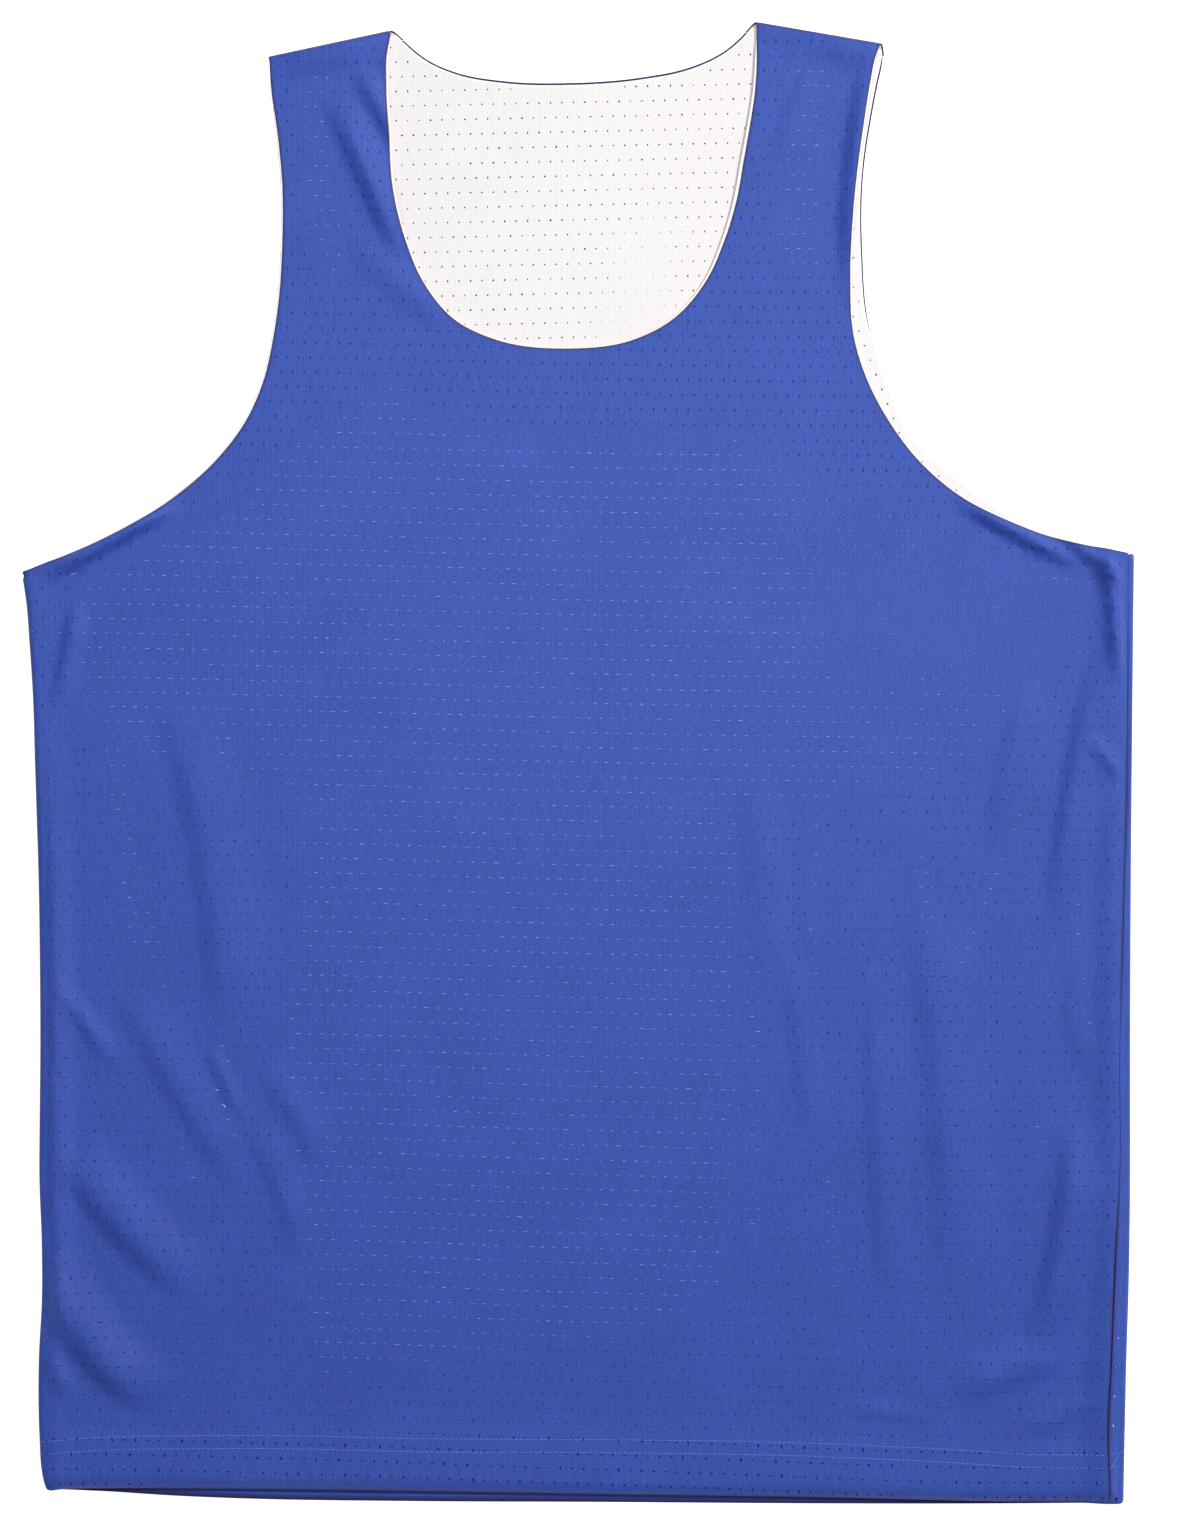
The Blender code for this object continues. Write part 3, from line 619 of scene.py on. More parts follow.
def side_roll(x, y):
    """A low swell beside the right turn, over which the cloth rolls down to the garment's edge."""
    inwards = np.maximum(right_start(y) - x, 0.0)
    outer = 1.0 - (1.0 - np.minimum(inwards / SIDE_ROLL_REACH, 1.0)) ** 2
    inner = 1.0 - smooth_step((inwards - SIDE_ROLL_REACH) / SIDE_ROLL_FADE)
    return SIDE_ROLL_HEIGHT * outer * inner


def shoulder_rise(x, y):
    """How far the upper side rises towards the shoulder folds."""
    below = np.maximum(-shoulder_beyond(x, y), 0.0) - SHOULDER_TOP
    return value_at(SHOULDER_RISES, x) * (1.0 - smooth_step(below / SHOULDER_RISE_REACH))


def lift(x, y):
    """How far the upper side of the hollow stands above the flat stack."""
    below_shoulder = np.maximum(-shoulder_beyond(x, y), 0.0)
    nearest = np.minimum(np.minimum(x - left_start(y), right_start(y) - x), below_shoulder)
    nearest = np.maximum(nearest, 0.0)
    edge = EDGE_LIFT * (1.0 - smooth_step(nearest / EDGE_LIFT_REACH))
    above_hem = np.maximum(y - value_at(FRONT_HEM, x), 0.0)
    swell = HEM_SWELL * (1.0 - smooth_step(above_hem / HEM_SWELL_REACH))
    dip = HEM_DIP * np.maximum(1.0 - above_hem / HEM_DIP_REACH, 0.0) ** 3
    inside_part = (creases(x, y) + swell - dip) * smooth_step(nearest / RIDGE_FADE)
    return edge + side_roll(x, y) + shoulder_rise(x, y) + inside_part


def stacked(x, y, z):
    return np.stack(np.broadcast_arrays(x, y, z), axis=1).astype(float)


def upper_place(x, y):
    """Points on the upper side of the hollow. Layers are set straight up, so none can cross another."""
    leaning = y - SHOULDER_LEAN_IN * shoulder_rise(x, y)
    return stacked(x, leaning, UPPER_HEIGHT + lift(x, y)), stacked(0.0 * x, 0.0, 1.0)


def turned(beyond):
    """Shift out, turn outwards and turn over of points past the start of a half turn."""
    angle = np.clip(beyond / TURN_RADIUS, 0.0, math.pi)
    shift = TURN_RADIUS * np.sin(angle) - np.maximum(0.0, beyond - HALF_TURN)
    return shift, np.sin(angle), np.cos(angle)


def front_place(x, y):
    """Where points of the front's flat drawing lie on the hollow, and the directions out of it."""
    points, out = upper_place(x, y)
    middle = LOWER_HEIGHT + TURN_RADIUS
    beyond = left_start(y) - x
    shift, sideways, up = turned(beyond)
    past = beyond > 0.0
    points = np.where(past[:, None], stacked(left_start(y) - shift, y, middle + TURN_RADIUS * up), points)
    out = np.where(past[:, None], stacked(-sideways, 0.0 * x, up), out)
    for shoulder, here in ((LEFT_SHOULDER, x < 0.0), (RIGHT_SHOULDER, x >= 0.0)):
        beyond = shoulder.beyond(x, y)
        shift, sideways, up = turned(beyond)
        over = (here & (beyond > 0.0) & ~past)[:, None]
        flat = shoulder.points(shoulder.along_at(x, y), shift)
        rise = value_at(SHOULDER_RISES, flat[:, 0]) * (0.5 + 0.5 * up)
        leaning = flat[:, 1] - SHOULDER_LEAN_IN * rise
        points = np.where(over, stacked(flat[:, 0], leaning, middle + TURN_RADIUS * up + rise), points)
        out = np.where(over, stacked(shoulder.out[0] * sideways, shoulder.out[1] * sideways, up), out)
    return points, out


def back_place(x, y):
    """The same for the back's drawing, which turns up at the right."""
    beyond = x - right_start(y)
    shift, sideways, up = turned(beyond)
    flat_x = np.where(beyond > 0.0, right_start(y) + shift, x)
    points = stacked(flat_x, y, LOWER_HEIGHT + np.where(beyond > 0.0, TURN_RADIUS * (1.0 - up), 0.0))
    out = stacked(np.where(beyond > 0.0, sideways, 0.0), 0.0 * x, -np.where(beyond > 0.0, up, 1.0))
    top_points, top_out = upper_place(flat_x, y)
    over = (beyond > HALF_TURN)[:, None]
    return np.where(over, top_points, points), np.where(over, top_out, out)


def inside(outline, x, y):
    """Whether each point is inside a closed outline."""
    result = np.zeros(len(x), bool)
    following = np.roll(outline, -1, axis=0)
    for (x0, y0), (x1, y1) in zip(outline, following):
        if y0 == y1:
            continue
        crosses = ((y0 > y) != (y1 > y)) & (x < x0 + (y - y0) * (x1 - x0) / (y1 - y0))
        result ^= crosses
    return result


def distance_to(line, x, y, closed=True):
    """Distance from each point to a line of short straight runs."""
    nearest = np.full(len(x), np.inf)
    following = np.roll(line, -1, axis=0) if closed else line[1:]
    for (x0, y0), (x1, y1) in zip(line, following):
        run_x, run_y = x1 - x0, y1 - y0
        part = np.clip(((x - x0) * run_x + (y - y0) * run_y) / (run_x ** 2 + run_y ** 2), 0.0, 1.0)
        nearest = np.minimum(nearest, np.hypot(x - x0 - part * run_x, y - y0 - part * run_y))
    return nearest


def touching(x, y):
    """1 where the front's two layers touch, 0 where they lie apart."""
    field = np.array(TOUCHING_FIELD, float)
    depth = distance_to(field, x, y) * np.where(inside(field, x, y), 1.0, -1.0)
    result = smooth_step(0.5 + depth / FIELD_FADE)
    for strip in TOUCHING_STRIPS:
        part, off, _ = along_and_off(strip.start, strip.middle, strip.end, x, y)
        ends = smooth_step(part / STRIP_END) * smooth_step((1.0 - part) / STRIP_END)
        across = smooth_step(STRIP_FULL - STRIP_FULL * np.abs(off) / strip.half_width)
        result = np.maximum(result, ends * across)
    return result


def hem_line(below=0.0):
    """The front's upper stitching row, moved down if asked."""
    return smooth_curve(FRONT_STITCHING) - np.array([0.0, below])


def hem_extra(x, y):
    """Extra height of the front's doubled hem."""
    above = y - value_at(FRONT_STITCHING, x) - HEM_STEP_ABOVE_STITCHING
    return HEM_EXTRA * (1.0 - smooth_step(above / HEM_STEP))


def front_turn(x, y):
    """Distance past the start of the front's nearest turn."""
    return np.maximum(left_start(y) - x, shoulder_beyond(x, y))


def back_turn(x, y):
    return x - right_start(y)


def wave_value(wave, along, sideways):
    return np.sin(wave.step * along + wave.wander * np.sin(wave.wander_step * sideways))


def picked(x, y):
    """1 for an uneven half of the holes, in loose upright bands, and 0 for the others."""
    return (wave_value(ACROSS_WAVE, x, y) * wave_value(UPWARD_WAVE, y, x) > MIXED_FROM).astype(float)


def fold_shade(x, y):
    """Painted shade of the front's folds, darkest at their outermost line."""
    side = np.sin(np.pi * np.clip((left_start(y) - x) / HALF_TURN, 0.0, 1.0)) ** 2
    shoulder = np.sin(np.pi * np.clip(shoulder_beyond(x, y) / HALF_TURN, 0.0, 1.0)) ** 2
    return np.maximum(SIDE_SHADE * side, SHOULDER_SHADE * shoulder)


def unshaded(x, y):
    return np.zeros(len(x))


def everywhere(values):
    """A function of places that gives the same values at each."""
    return lambda x, y: tuple(np.full(len(x), value) for value in values)


def falling(slope):
    """How far a row of holes falls across the cloth, at a steady slope."""
    return lambda x, y: slope * x


def turn_edge(start, direction, y, reverse=False, rise=0.0):
    """Points across a side turn, from its start to the seam, with a corner rounded by `rise`."""
    levels = np.append(TURN_LEVELS, HALF_TURN + seam_strip(y) - GAP / 2)
    rounding = 1.0 - np.abs(np.cos(np.pi * np.minimum(levels / HALF_TURN, 1.0)))
    points = np.stack([start(y) + direction * levels, y + rise * rounding], axis=1)
    return points[::-1] if reverse else points


def side_turn_lines(start, direction, bottom, top):
    """Lines down a side turn at each of its steps, clear of the panel's ends."""
    y = spaced(bottom + LINE_END_CLEARANCE, top - LINE_END_CLEARANCE)
    return [np.stack([start(y) + direction * level, y], axis=1) for level in TURN_LEVELS]


def shoulder_turn_lines():
    return [shoulder.row(level, level, LINE_END_CLEARANCE)
            for shoulder in SHOULDERS for level in TURN_LEVELS]


def curved_edge(start, rows, end, rims):
    """A panel's curved edge between two seam ends, moved out by its rims if asked."""
    curve = smooth_curve([(*start, 0.0), *rows, (*end, 0.0)])
    return moved_out(curve[:, :2], curve[:, 2] * rims)[1:-1]


def line_down(seam, top, bottom):
    y = spaced(top, bottom)
    return np.stack([seam(y), y], axis=1)


def front_outline(inner, short=0.0):
    """Anticlockwise outline of a front panel, from the left seam's hem end."""
    rims = 1.0 if inner else 0.0
    under = turn_edge(left_start, -1.0, UNDERARM_LEFT, rise=-LEFT_TIP_FALL)
    hem_turn = turn_edge(left_start, -1.0, HEM_LEFT, reverse=True, rise=LEFT_CORNER_RISE)
    hem = smooth_curve([tuple(hem_turn[-1]), *FRONT_HEM, (float(front_seam(HEM_RIGHT)), HEM_RIGHT)])
    seam = line_down(front_seam, HEM_RIGHT + short, UNDERARM_RIGHT)
    levels = (*TURN_LEVELS, SEAM_BEYOND)
    insets = rims * BLUE_SHOWS_AT_NECK * smooth_step(np.array(levels) / HALF_TURN)
    left, right = [[shoulder.row(level, level, inset) for level, inset in zip(levels, insets)]
                   for shoulder in SHOULDERS]
    seam_under = line_down(under_seam, UNDERARM_LEFT, HEM_LEFT + short)
    return np.concatenate([
        hem_turn + (0.0, short),
        (hem + (0.0, short))[1:-1],
        seam,
        curved_edge(seam[-1], FRONT_RIGHT_ARMHOLE, right[0][-1], rims),
        [row[-1] for row in right[:-1]],
        right[-1][::-1],
        [row[0] for row in right[-2::-1]],
        curved_edge(right[0][0], FRONT_NECK, left[0][0], rims),
        [row[0] for row in left[:-1]],
        left[-1],
        [row[-1] for row in left[-2::-1]],
        curved_edge(left[0][-1], FRONT_LEFT_ARMHOLE, under[0], rims),
        under,
        seam_under[1:-1],
    ])


def back_outline(inner, short=0.0):
    """Anticlockwise outline of a back panel, from the left seam's hem end."""
    rims = 1.0 if inner else 0.0
    under = turn_edge(right_start, 1.0, UNDERARM_RIGHT, reverse=True, rise=-RIGHT_TIP_FALL)
    hem_turn = turn_edge(right_start, 1.0, HEM_RIGHT, rise=RIGHT_CORNER_RISE)
    hem = smooth_curve([(float(back_seam(HEM_LEFT)), HEM_LEFT), *BACK_HEM, tuple(hem_turn[0])])
    seam = line_down(over_seam, HEM_RIGHT + short, UNDERARM_RIGHT)
    left, right = [
        shoulder.row(HALF_TURN, -LINING_BELOW_FOLD, BLUE_SHOWS_AT_NECK) if inner
        else shoulder.row(SEAM_BEYOND, BACK_SEAM_BEYOND)
        for shoulder in SHOULDERS]
    seam_left = line_down(back_seam, UNDERARM_LEFT, HEM_LEFT + short)
    hidden = [point._replace(rim=-HIDDEN_EDGE_INSET) for point in FRONT_LEFT_ARMHOLE]
    return np.concatenate([
        (hem + (0.0, short))[1:-1],
        hem_turn + (0.0, short),
        seam[1:-1],
        under,
        curved_edge(under[-1], BACK_RIGHT_ARMHOLE, right[-1], rims),
        right[::-1],
        curved_edge(right[0], BACK_NECK, left[0], rims),
        left,
        curved_edge(left[-1], hidden, seam_left[0], 1.0),
        seam_left,
    ])


def row_fall(x, y):
    """How far a row of the front's holes has fallen below its place at the left edge."""
    low = value_at(ROW_FALLS, x)
    high = value_at(ROW_FALLS, x, 2)
    part = np.clip((ROW_FALL_TOP - y) / ROW_FALL_DEPTH, 0.0, 1.0) ** ROW_FALL_POWER
    return high + (low - high) * part - ROW_FALL_ABOVE * np.maximum(y - ROW_FALL_TOP, 0.0)


def steps_across(low, high, pitch):
    """Numbers of pitches from below a range to above it."""
    return np.arange(math.floor(low / pitch) - SPARE_HOLES, math.ceil(high / pitch) + SPARE_HOLES + 1)


def lattice(outline, mesh):
    """Staggered places for a cloth's holes, leaning and falling with the cloth."""
    low = outline.min(axis=0)
    high = outline.max(axis=0)
    columns, rows = np.meshgrid(steps_across(low[0], high[0], mesh.pitch),
                                steps_across(low[1], high[1], ROW_PITCH))
    x = ((columns + 0.5 * (rows % 2)) * mesh.pitch + mesh.shift[0]).ravel()
    y = (rows * ROW_PITCH + mesh.shift[1]).ravel()
    return x + mesh.lean * y, y - mesh.fall(x, y)


def oval_rings(x, y, half_width, half_height):
    """Corners of an oval hole round each place, with corners at its top and bottom."""
    angles = (np.arange(HOLE_SIDES) + 0.5) * 2 * math.pi / HOLE_SIDES
    ring_x = x[:, None] + half_width[:, None] * np.cos(angles)
    ring_y = y[:, None] + half_height[:, None] * np.sin(angles)
    return np.stack([ring_x, ring_y], axis=2)


def triangulated(outline, lines, rings, loose):
    """Corners and triangles of a drawing, and the corner numbers round each hole."""
    points = [tuple(point) for point in outline]
    faces = [list(range(len(points)))]
    edges = []
    for line in lines:
        edges.extend((len(points) + i, len(points) + i + 1) for i in range(len(line) - 1))
        points.extend(tuple(point) for point in line)
    points.extend(tuple(point) for point in loose)
    first_hole_corner = len(points)
    for ring in rings:
        faces.append(list(range(len(points), len(points) + HOLE_SIDES)))
        points.extend(tuple(point) for point in ring)
    result = delaunay_2d_cdt([Vector(point) for point in points], edges, faces, 0, MERGE_DISTANCE)
    corners = np.array([tuple(corner) for corner in result[0]])
    triangles = np.array([face for face, origins in zip(result[2], result[5]) if origins == [0]])
    number_of = np.zeros(len(points), int)
    for number, origins in enumerate(result[3]):
        number_of[origins] = number
    used, numbers = np.unique(triangles, return_inverse=True)
    renumbered = np.zeros(len(corners), int)
    renumbered[used] = np.arange(len(used))
    hole_numbers = renumbered[number_of[first_hole_corner:]].reshape(-1, HOLE_SIDES)
    return corners[used], numbers.reshape(triangles.shape), hole_numbers


def edge_loop(triangles, hole_numbers):
    """Corner numbers round a drawing's outer edge, anticlockwise."""
    starts = triangles.ravel().tolist()
    ends = np.roll(triangles, -1, axis=1).ravel().tolist()
    pairs = set(zip(starts, ends))
    at_hole = set(hole_numbers.ravel().tolist())
    following = {start: end for start, end in pairs
                 if (end, start) not in pairs and start not in at_hole}
    loop = [min(following)]
    while following[loop[-1]] != loop[0]:
        loop.append(following[loop[-1]])
    return np.array(loop)


def edge_points(outline):
    """Loose points in rows inside an outline, so that the cloth bends smoothly near its edges."""
    rows = []
    closed = np.concatenate([outline, outline[:1]])
    lengths = run_lengths(closed)
    count = round(lengths[-1] / EDGE_POINT_SPACING)
    even = points_at(np.linspace(0.0, lengths[-1], count, endpoint=False), lengths, closed)
    for depth in EDGE_POINT_DEPTHS:
        row = moved_out(even, np.full(count, -depth), closed=True)
        off_edge = distance_to(outline, *row.T)
        rows.append(row[inside(outline, *row.T) & (off_edge > EDGE_POINT_KEPT * depth)])
    return np.concatenate(rows)


def hole_rings(layer, outline, random):
    """The holes of one cloth, clear of its edges, turns and lines, and the loose points between them."""
    x, y = lattice(outline, layer.mesh)
    past_turn = layer.turn_depth(x, y)
    in_turn = (past_turn > -HOLE_LINE_CLEARANCE) & (past_turn < HALF_TURN + HOLE_LINE_CLEARANCE)
    kept = inside(outline, x, y) & ~in_turn
    x, y = x[kept], y[kept]
    clear = distance_to(outline, x, y) > HOLE_EDGE_CLEARANCE
    for line in layer.lines:
        clear &= distance_to(line, x, y, closed=False) > HOLE_LINE_CLEARANCE
    loose = np.concatenate([
        np.stack([x + layer.mesh.pitch / 2, y + ROW_PITCH / 6], axis=1),
        np.stack([x, y + ROW_PITCH / 2], axis=1)])
    loose_x, loose_y = loose.T
    loose_kept = inside(outline, loose_x, loose_y)
    loose_kept &= distance_to(outline, loose_x, loose_y) > EDGE_POINT_DEPTHS[-1]
    x, y = x[clear], y[clear]
    half_width, half_height = layer.hole_size(x, y)
    uneven = np.clip(random.standard_normal((2, len(x))), -LARGEST_VARIATION, LARGEST_VARIATION)
    variation = 1.0 + HOLE_VARIATION * uneven
    half_width = half_width * variation[0]
    half_height = half_height * variation[1]
    rings = oval_rings(x, y, half_width, half_height)
    near_edge = edge_points(outline)
    for hole_x, hole_y, reach_x, reach_y in zip(x, y, half_width, half_height):
        off_x = np.abs(near_edge[:, 0] - hole_x) - reach_x
        off_y = np.abs(near_edge[:, 1] - hole_y) - reach_y
        near_edge = near_edge[(off_x > EDGE_POINT_CLEARANCE) | (off_y > EDGE_POINT_CLEARANCE)]
    return np.stack([x, y], axis=1), rings, np.concatenate([loose[loose_kept], near_edge])


def linked(name, data):
    """A new object, put in the scene."""
    item = bpy.data.objects.new(name, data)
    bpy.context.scene.collection.objects.link(item)
    return item


def new_piece(name, points, faces, materials):
    """A smooth mesh object from points in millimetres."""
    mesh = bpy.data.meshes.new(name)
    mesh.from_pydata((points * MM).tolist(), [], faces)
    mesh.update()
    mesh.shade_smooth()
    for material in materials:
        mesh.materials.append(material)
    return linked(name, mesh)


class Cloth:
    """A mesh under construction: places in millimetres, their places on the flat cloth, and faces."""

    def __init__(self):
        self.points = []
        self.flat = []
        self.shades = []
        self.faces = []
        self.count = 0

    def add(self, points, flat, shade=0.0):
        """Adds points and gives their numbers."""
        self.points.append(points)
        self.flat.append(flat)
        self.shades.append(np.full(len(points), shade))
        self.count += len(points)
        return np.arange(self.count - len(points), self.count)

    def add_faces(self, faces, turned_over):
        self.faces += (faces[:, ::-1] if turned_over else faces).tolist()

    def join_rows(self, before, after, turned_over):
        """Quads between two closed rows, the second further out."""
        quads = np.stack([before, after, np.roll(after, -1), np.roll(before, -1)], axis=1)
        self.add_faces(quads, turned_over)

    def add_grid(self, rows, place, height, turned_over):
        """An open band whose rows run the same way, each further in."""
        numbers = [self.add(laid(place, row, height(row)), row) for row in rows]
        for before, after in zip(numbers, numbers[1:]):
            quads = np.stack([after[:-1], before[:-1], before[1:], after[1:]], axis=1)
            self.add_faces(quads, turned_over)

    def finish(self, name, materials, skin_faces):
        piece = new_piece(name, np.concatenate(self.points), self.faces, materials)
        mesh = piece.data
        flat = np.concatenate(self.flat) * MM
        corners = np.empty(len(mesh.loops), np.int32)
        mesh.loops.foreach_get("vertex_index", corners)
        layer = mesh.uv_layers.new(name=CLOTH_MAP)
        layer.data.foreach_set("uv", flat[corners].ravel())
        shade = mesh.attributes.new(SHADE, "FLOAT", "POINT")
        shade.data.foreach_set("value", np.concatenate(self.shades))
        numbers = np.full(len(mesh.polygons), len(materials) - 1, np.int32)
        numbers[:skin_faces] = 0
        mesh.polygons.foreach_set("material_index", numbers)
        return piece


def laid(place, flat, height):
    """Places of drawing points at a height over the hollow's surface."""
    points, out = place(*flat.T)
    return points + out * np.reshape(height, (-1, 1))


def add_funnels(cloth, layer, middles, rings):
    """The sides of the holes, which narrow through the cloth's thickness."""
    scale_x, scale_y, depth, shade = layer.funnel(*middles.T)
    shade = np.repeat(shade, HOLE_SIDES)
    scale = np.stack([scale_x, scale_y], axis=1)[:, None, :]
    near_rings = rings.reshape(-1, 2)
    near_height = layer.skin(*near_rings.T)
    near = cloth.add(laid(layer.place, near_rings, near_height), near_rings, shade)
    near = near.reshape(-1, HOLE_SIDES)
    far_rings = (middles[:, None, :] + (rings - middles[:, None, :]) * scale).reshape(-1, 2)
    far_height = near_height + layer.roll * np.repeat(depth, HOLE_SIDES)
    far = cloth.add(laid(layer.place, far_rings, far_height), far_rings, shade)
    far = far.reshape(-1, HOLE_SIDES)
    quads = np.stack([near, np.roll(near, -1, axis=1), np.roll(far, -1, axis=1), far], axis=2)
    cloth.add_faces(quads.reshape(-1, 4), layer.faces_in)


def cloth_panel(layer, outline, materials, random, facing=(), covered_by=None):
    """One layer of one side: its drawing with holes laid on the hollow, and its rolled edge.

    `covered_by` is the outline of the layer over it, past which its bead shows. The first material
    is the skin's, and the last is the edge's.
    """
    rims = np.zeros(len(outline))
    if covered_by is not None:
        beyond = distance_to(covered_by, *outline.T)
        rims = np.where(inside(covered_by, *outline.T), 0.0, beyond)
    edge = moved_out(outline, -ROLL_OUT - rims, closed=True)
    middles, rings, loose = hole_rings(layer, edge, random)
    drawing, triangles, hole_numbers = triangulated(edge, layer.lines, rings, loose)
    cloth = Cloth()
    over = layer.faces_in
    before = edge_loop(triangles, hole_numbers)
    loop = drawing[before]
    free = smooth_step(np.abs(loop[:, 0] - layer.seam(loop[:, 1])) / SEAM_REACH)
    # Painted shade of the rolled edge, made lighter or darker along the right seam by SEAM_SHADES
    dark = free + (1.0 - free) * value_at(SEAM_SHADES, loop[:, 1])
    shade = layer.shade(*drawing.T)
    shade[before] = np.maximum(shade[before], layer.edge[0].shade * EDGE_START_SHADE * dark)
    cloth.add(laid(layer.place, drawing, layer.skin(*drawing.T)), drawing, shade)
    cloth.add_faces(triangles, over)
    if layer.funnel:
        shown = middles[:, 1] > layer.funnels_above
        add_funnels(cloth, layer, middles[shown], rings[shown])
    skin_faces = len(cloth.faces)
    nearest = [np.argmin(np.hypot(*(edge - corner).T)) for corner in loop]
    loop_rims = rims[nearest]
    fullness = smooth_step(loop_rims / BEAD_FULL_RIM)
    for edge_row in layer.edge:
        closing = SEAM_CLOSE * (1.0 - free) * (edge_row.out == ROLL_OUT)
        row = moved_out(loop, edge_row.out + edge_row.rim_part * loop_rims + closing, closed=True)
        height = layer.skin(*loop.T) + layer.roll * edge_row.behind
        height = height + edge_row.proud * fullness
        after = cloth.add(laid(layer.place, row, height), row, edge_row.shade * dark)
        cloth.join_rows(before, after, over)
        before = after
    if facing:
        cloth.add_grid(facing, layer.place,
                       lambda row: layer.skin(*row.T) + layer.roll * FACING_BEHIND, over)
    return cloth.finish(layer.name, materials, skin_faces)


def hem_facing(left, rows, right):
    """Rows of points from just inside a hem's edge to its depth, between two upright edges."""
    edge = smooth_curve([(float(left(HEM_LEFT)) + FACING_END, HEM_LEFT), *rows,
                         (float(right(HEM_RIGHT)) - FACING_END, HEM_RIGHT)])
    return [moved_out(edge, np.full(len(edge), -depth))
            for depth in np.linspace(ROLL_OUT, HEM_DEPTH, FACING_ROWS)]


def front_cloths(blue, white, white_with_painted_blue_light, random):
    """The front's two layers. Their gap sets how much white shows through the holes."""
    turn_lines = side_turn_lines(left_start, -1.0, HEM_LEFT + LEFT_CORNER_RISE,
                                 UNDERARM_LEFT - LEFT_TIP_FALL)
    turn_lines += shoulder_turn_lines()
    outline = front_outline(False)

    def inside_edges(x, y):
        return (smooth_step(distance_to(outline, x, y) / APART_AT_EDGES - EDGE_START)
                * (front_turn(x, y) < 0.0))

    def white_shows(x, y):
        mixed = MIXED_PART * picked(x, y) * smooth_step((MIXED_TOP - y) / MIXED_FADE)
        return np.maximum(touching(x, y), mixed) * inside_edges(x, y)

    def closeness(x, y):
        bent = creases(x, y) + RISE_APART * shoulder_rise(x, y)
        part = np.maximum(touching(x, y), RESTING_PART) * inside_edges(x, y)
        return part * (1.0 - smooth_step(bent / CREASE_APART - CREASE_START))

    def outer_skin(x, y):
        return OUTER_SKIN + hem_extra(x, y) * (front_turn(x, y) < 0.0)

    def inner_skin(x, y):
        return INNER_LOW + (INNER_CLOSE - INNER_LOW) * closeness(x, y)

    def outer_holes(x, y):
        near = white_shows(x, y)
        return (HOLE_HALF_WIDTH + WHITE_HOLE_WIDER * near,
                HOLE_HALF_HEIGHT - WHITE_HOLE_LOWER * near)

    def outer_funnel(x, y):
        near = white_shows(x, y)
        # Painted shade inside the dark holes, stronger in the hem band and none where white shows
        in_hem = 1.0 - smooth_step((y - value_at(FRONT_STITCHING, x)) / HEM_STEP)
        shade = (HOLE_SHADE + (HEM_HOLE_SHADE - HOLE_SHADE) * in_hem) * (1.0 - near)
        return (FUNNEL_END + WHITE_FUNNEL_WIDER * near, FUNNEL_END + WHITE_FUNNEL_HIGHER * near,
                FUNNEL_DEPTH - WHITE_FUNNEL_SHALLOWER * near, -shade)

    facing = hem_facing(left_start, FRONT_HEM, front_seam)
    outer = Layer("front_outer_cloth", front_place, front_turn, outer_skin, ROLL, -1.0, False,
                  turn_lines, Mesh(PITCH, (0.0, -2.0), 0.0, row_fall),
                  outer_holes, outer_funnel, HEM_RIGHT, front_seam, fold_shade)
    inner = Layer("front_inner_cloth", front_place, front_turn, inner_skin, BEAD, -1.0, False,
                  turn_lines, Mesh(PITCH, (1.9, 2.6), 0.012, falling(0.025)),
                  everywhere(FRONT_INNER_HOLES), None, None, front_seam, unshaded)
    return (cloth_panel(outer, outline, [blue], random, facing),
            cloth_panel(inner, front_outline(True, INNER_HEM_SHORT), [white_with_painted_blue_light, white], random,
                        covered_by=outline))


def back_cloths(blue, white, random):
    """The back's two layers. The white one shows its inner side through the neck."""
    turn_lines = side_turn_lines(right_start, 1.0, HEM_RIGHT + RIGHT_CORNER_RISE,
                                 UNDERARM_RIGHT - RIGHT_TIP_FALL)

    def outer_skin(x, y):
        return np.full(len(x), OUTER_SKIN)

    def inner_skin(x, y):
        return LINING_SKIN + (INNER_LOW - LINING_SKIN) * smooth_step(back_turn(x, y) / HALF_TURN)

    facing = hem_facing(back_seam, BACK_HEM, right_start)
    outer = Layer("back_outer_cloth", back_place, back_turn, outer_skin, ROLL, -1.0, True,
                  turn_lines, Mesh(PITCH, (2.3, 1.0), -0.01, falling(0.004)),
                  everywhere(BACK_OUTER_HOLES), None, None, over_seam, unshaded)
    inner = Layer("back_inner_cloth", back_place, back_turn, inner_skin, ROLL, 1.0, False,
                  turn_lines, Mesh(LINING_PITCH, (0.6, 0.15), 0.0, falling(-0.0216)),
                  everywhere(LINING_HOLES), everywhere(LINING_FUNNELS), LINING_HIDDEN_BELOW,
                  over_seam, unshaded)
    return (cloth_panel(outer, back_outline(False), [blue], random, facing),
            cloth_panel(inner, back_outline(True, LINING_HEM_SHORT), [white], random))


def stitch_shape():
    """A rounded thread stitch along +X, flat underneath: corners and faces."""
    points = []
    for along, size in STITCH_PROFILE:
        for side in range(STITCH_SIDES + 1):
            angle = math.pi * side / STITCH_SIDES
            points.append((along * STITCH_LENGTH, size * STITCH_WIDTH / 2 * math.cos(angle),
                           size * STITCH_HEIGHT * math.sin(angle)))
    row = STITCH_SIDES + 1
    faces = [(station * row + side, (station + 1) * row + side,
              (station + 1) * row + side + 1, station * row + side + 1)
             for station in range(len(STITCH_PROFILE) - 1) for side in range(STITCH_SIDES)]
    faces.append(tuple(range(row)))
    faces.append(tuple(range(len(points) - 1, len(points) - 1 - row, -1)))
    return np.array(points), faces


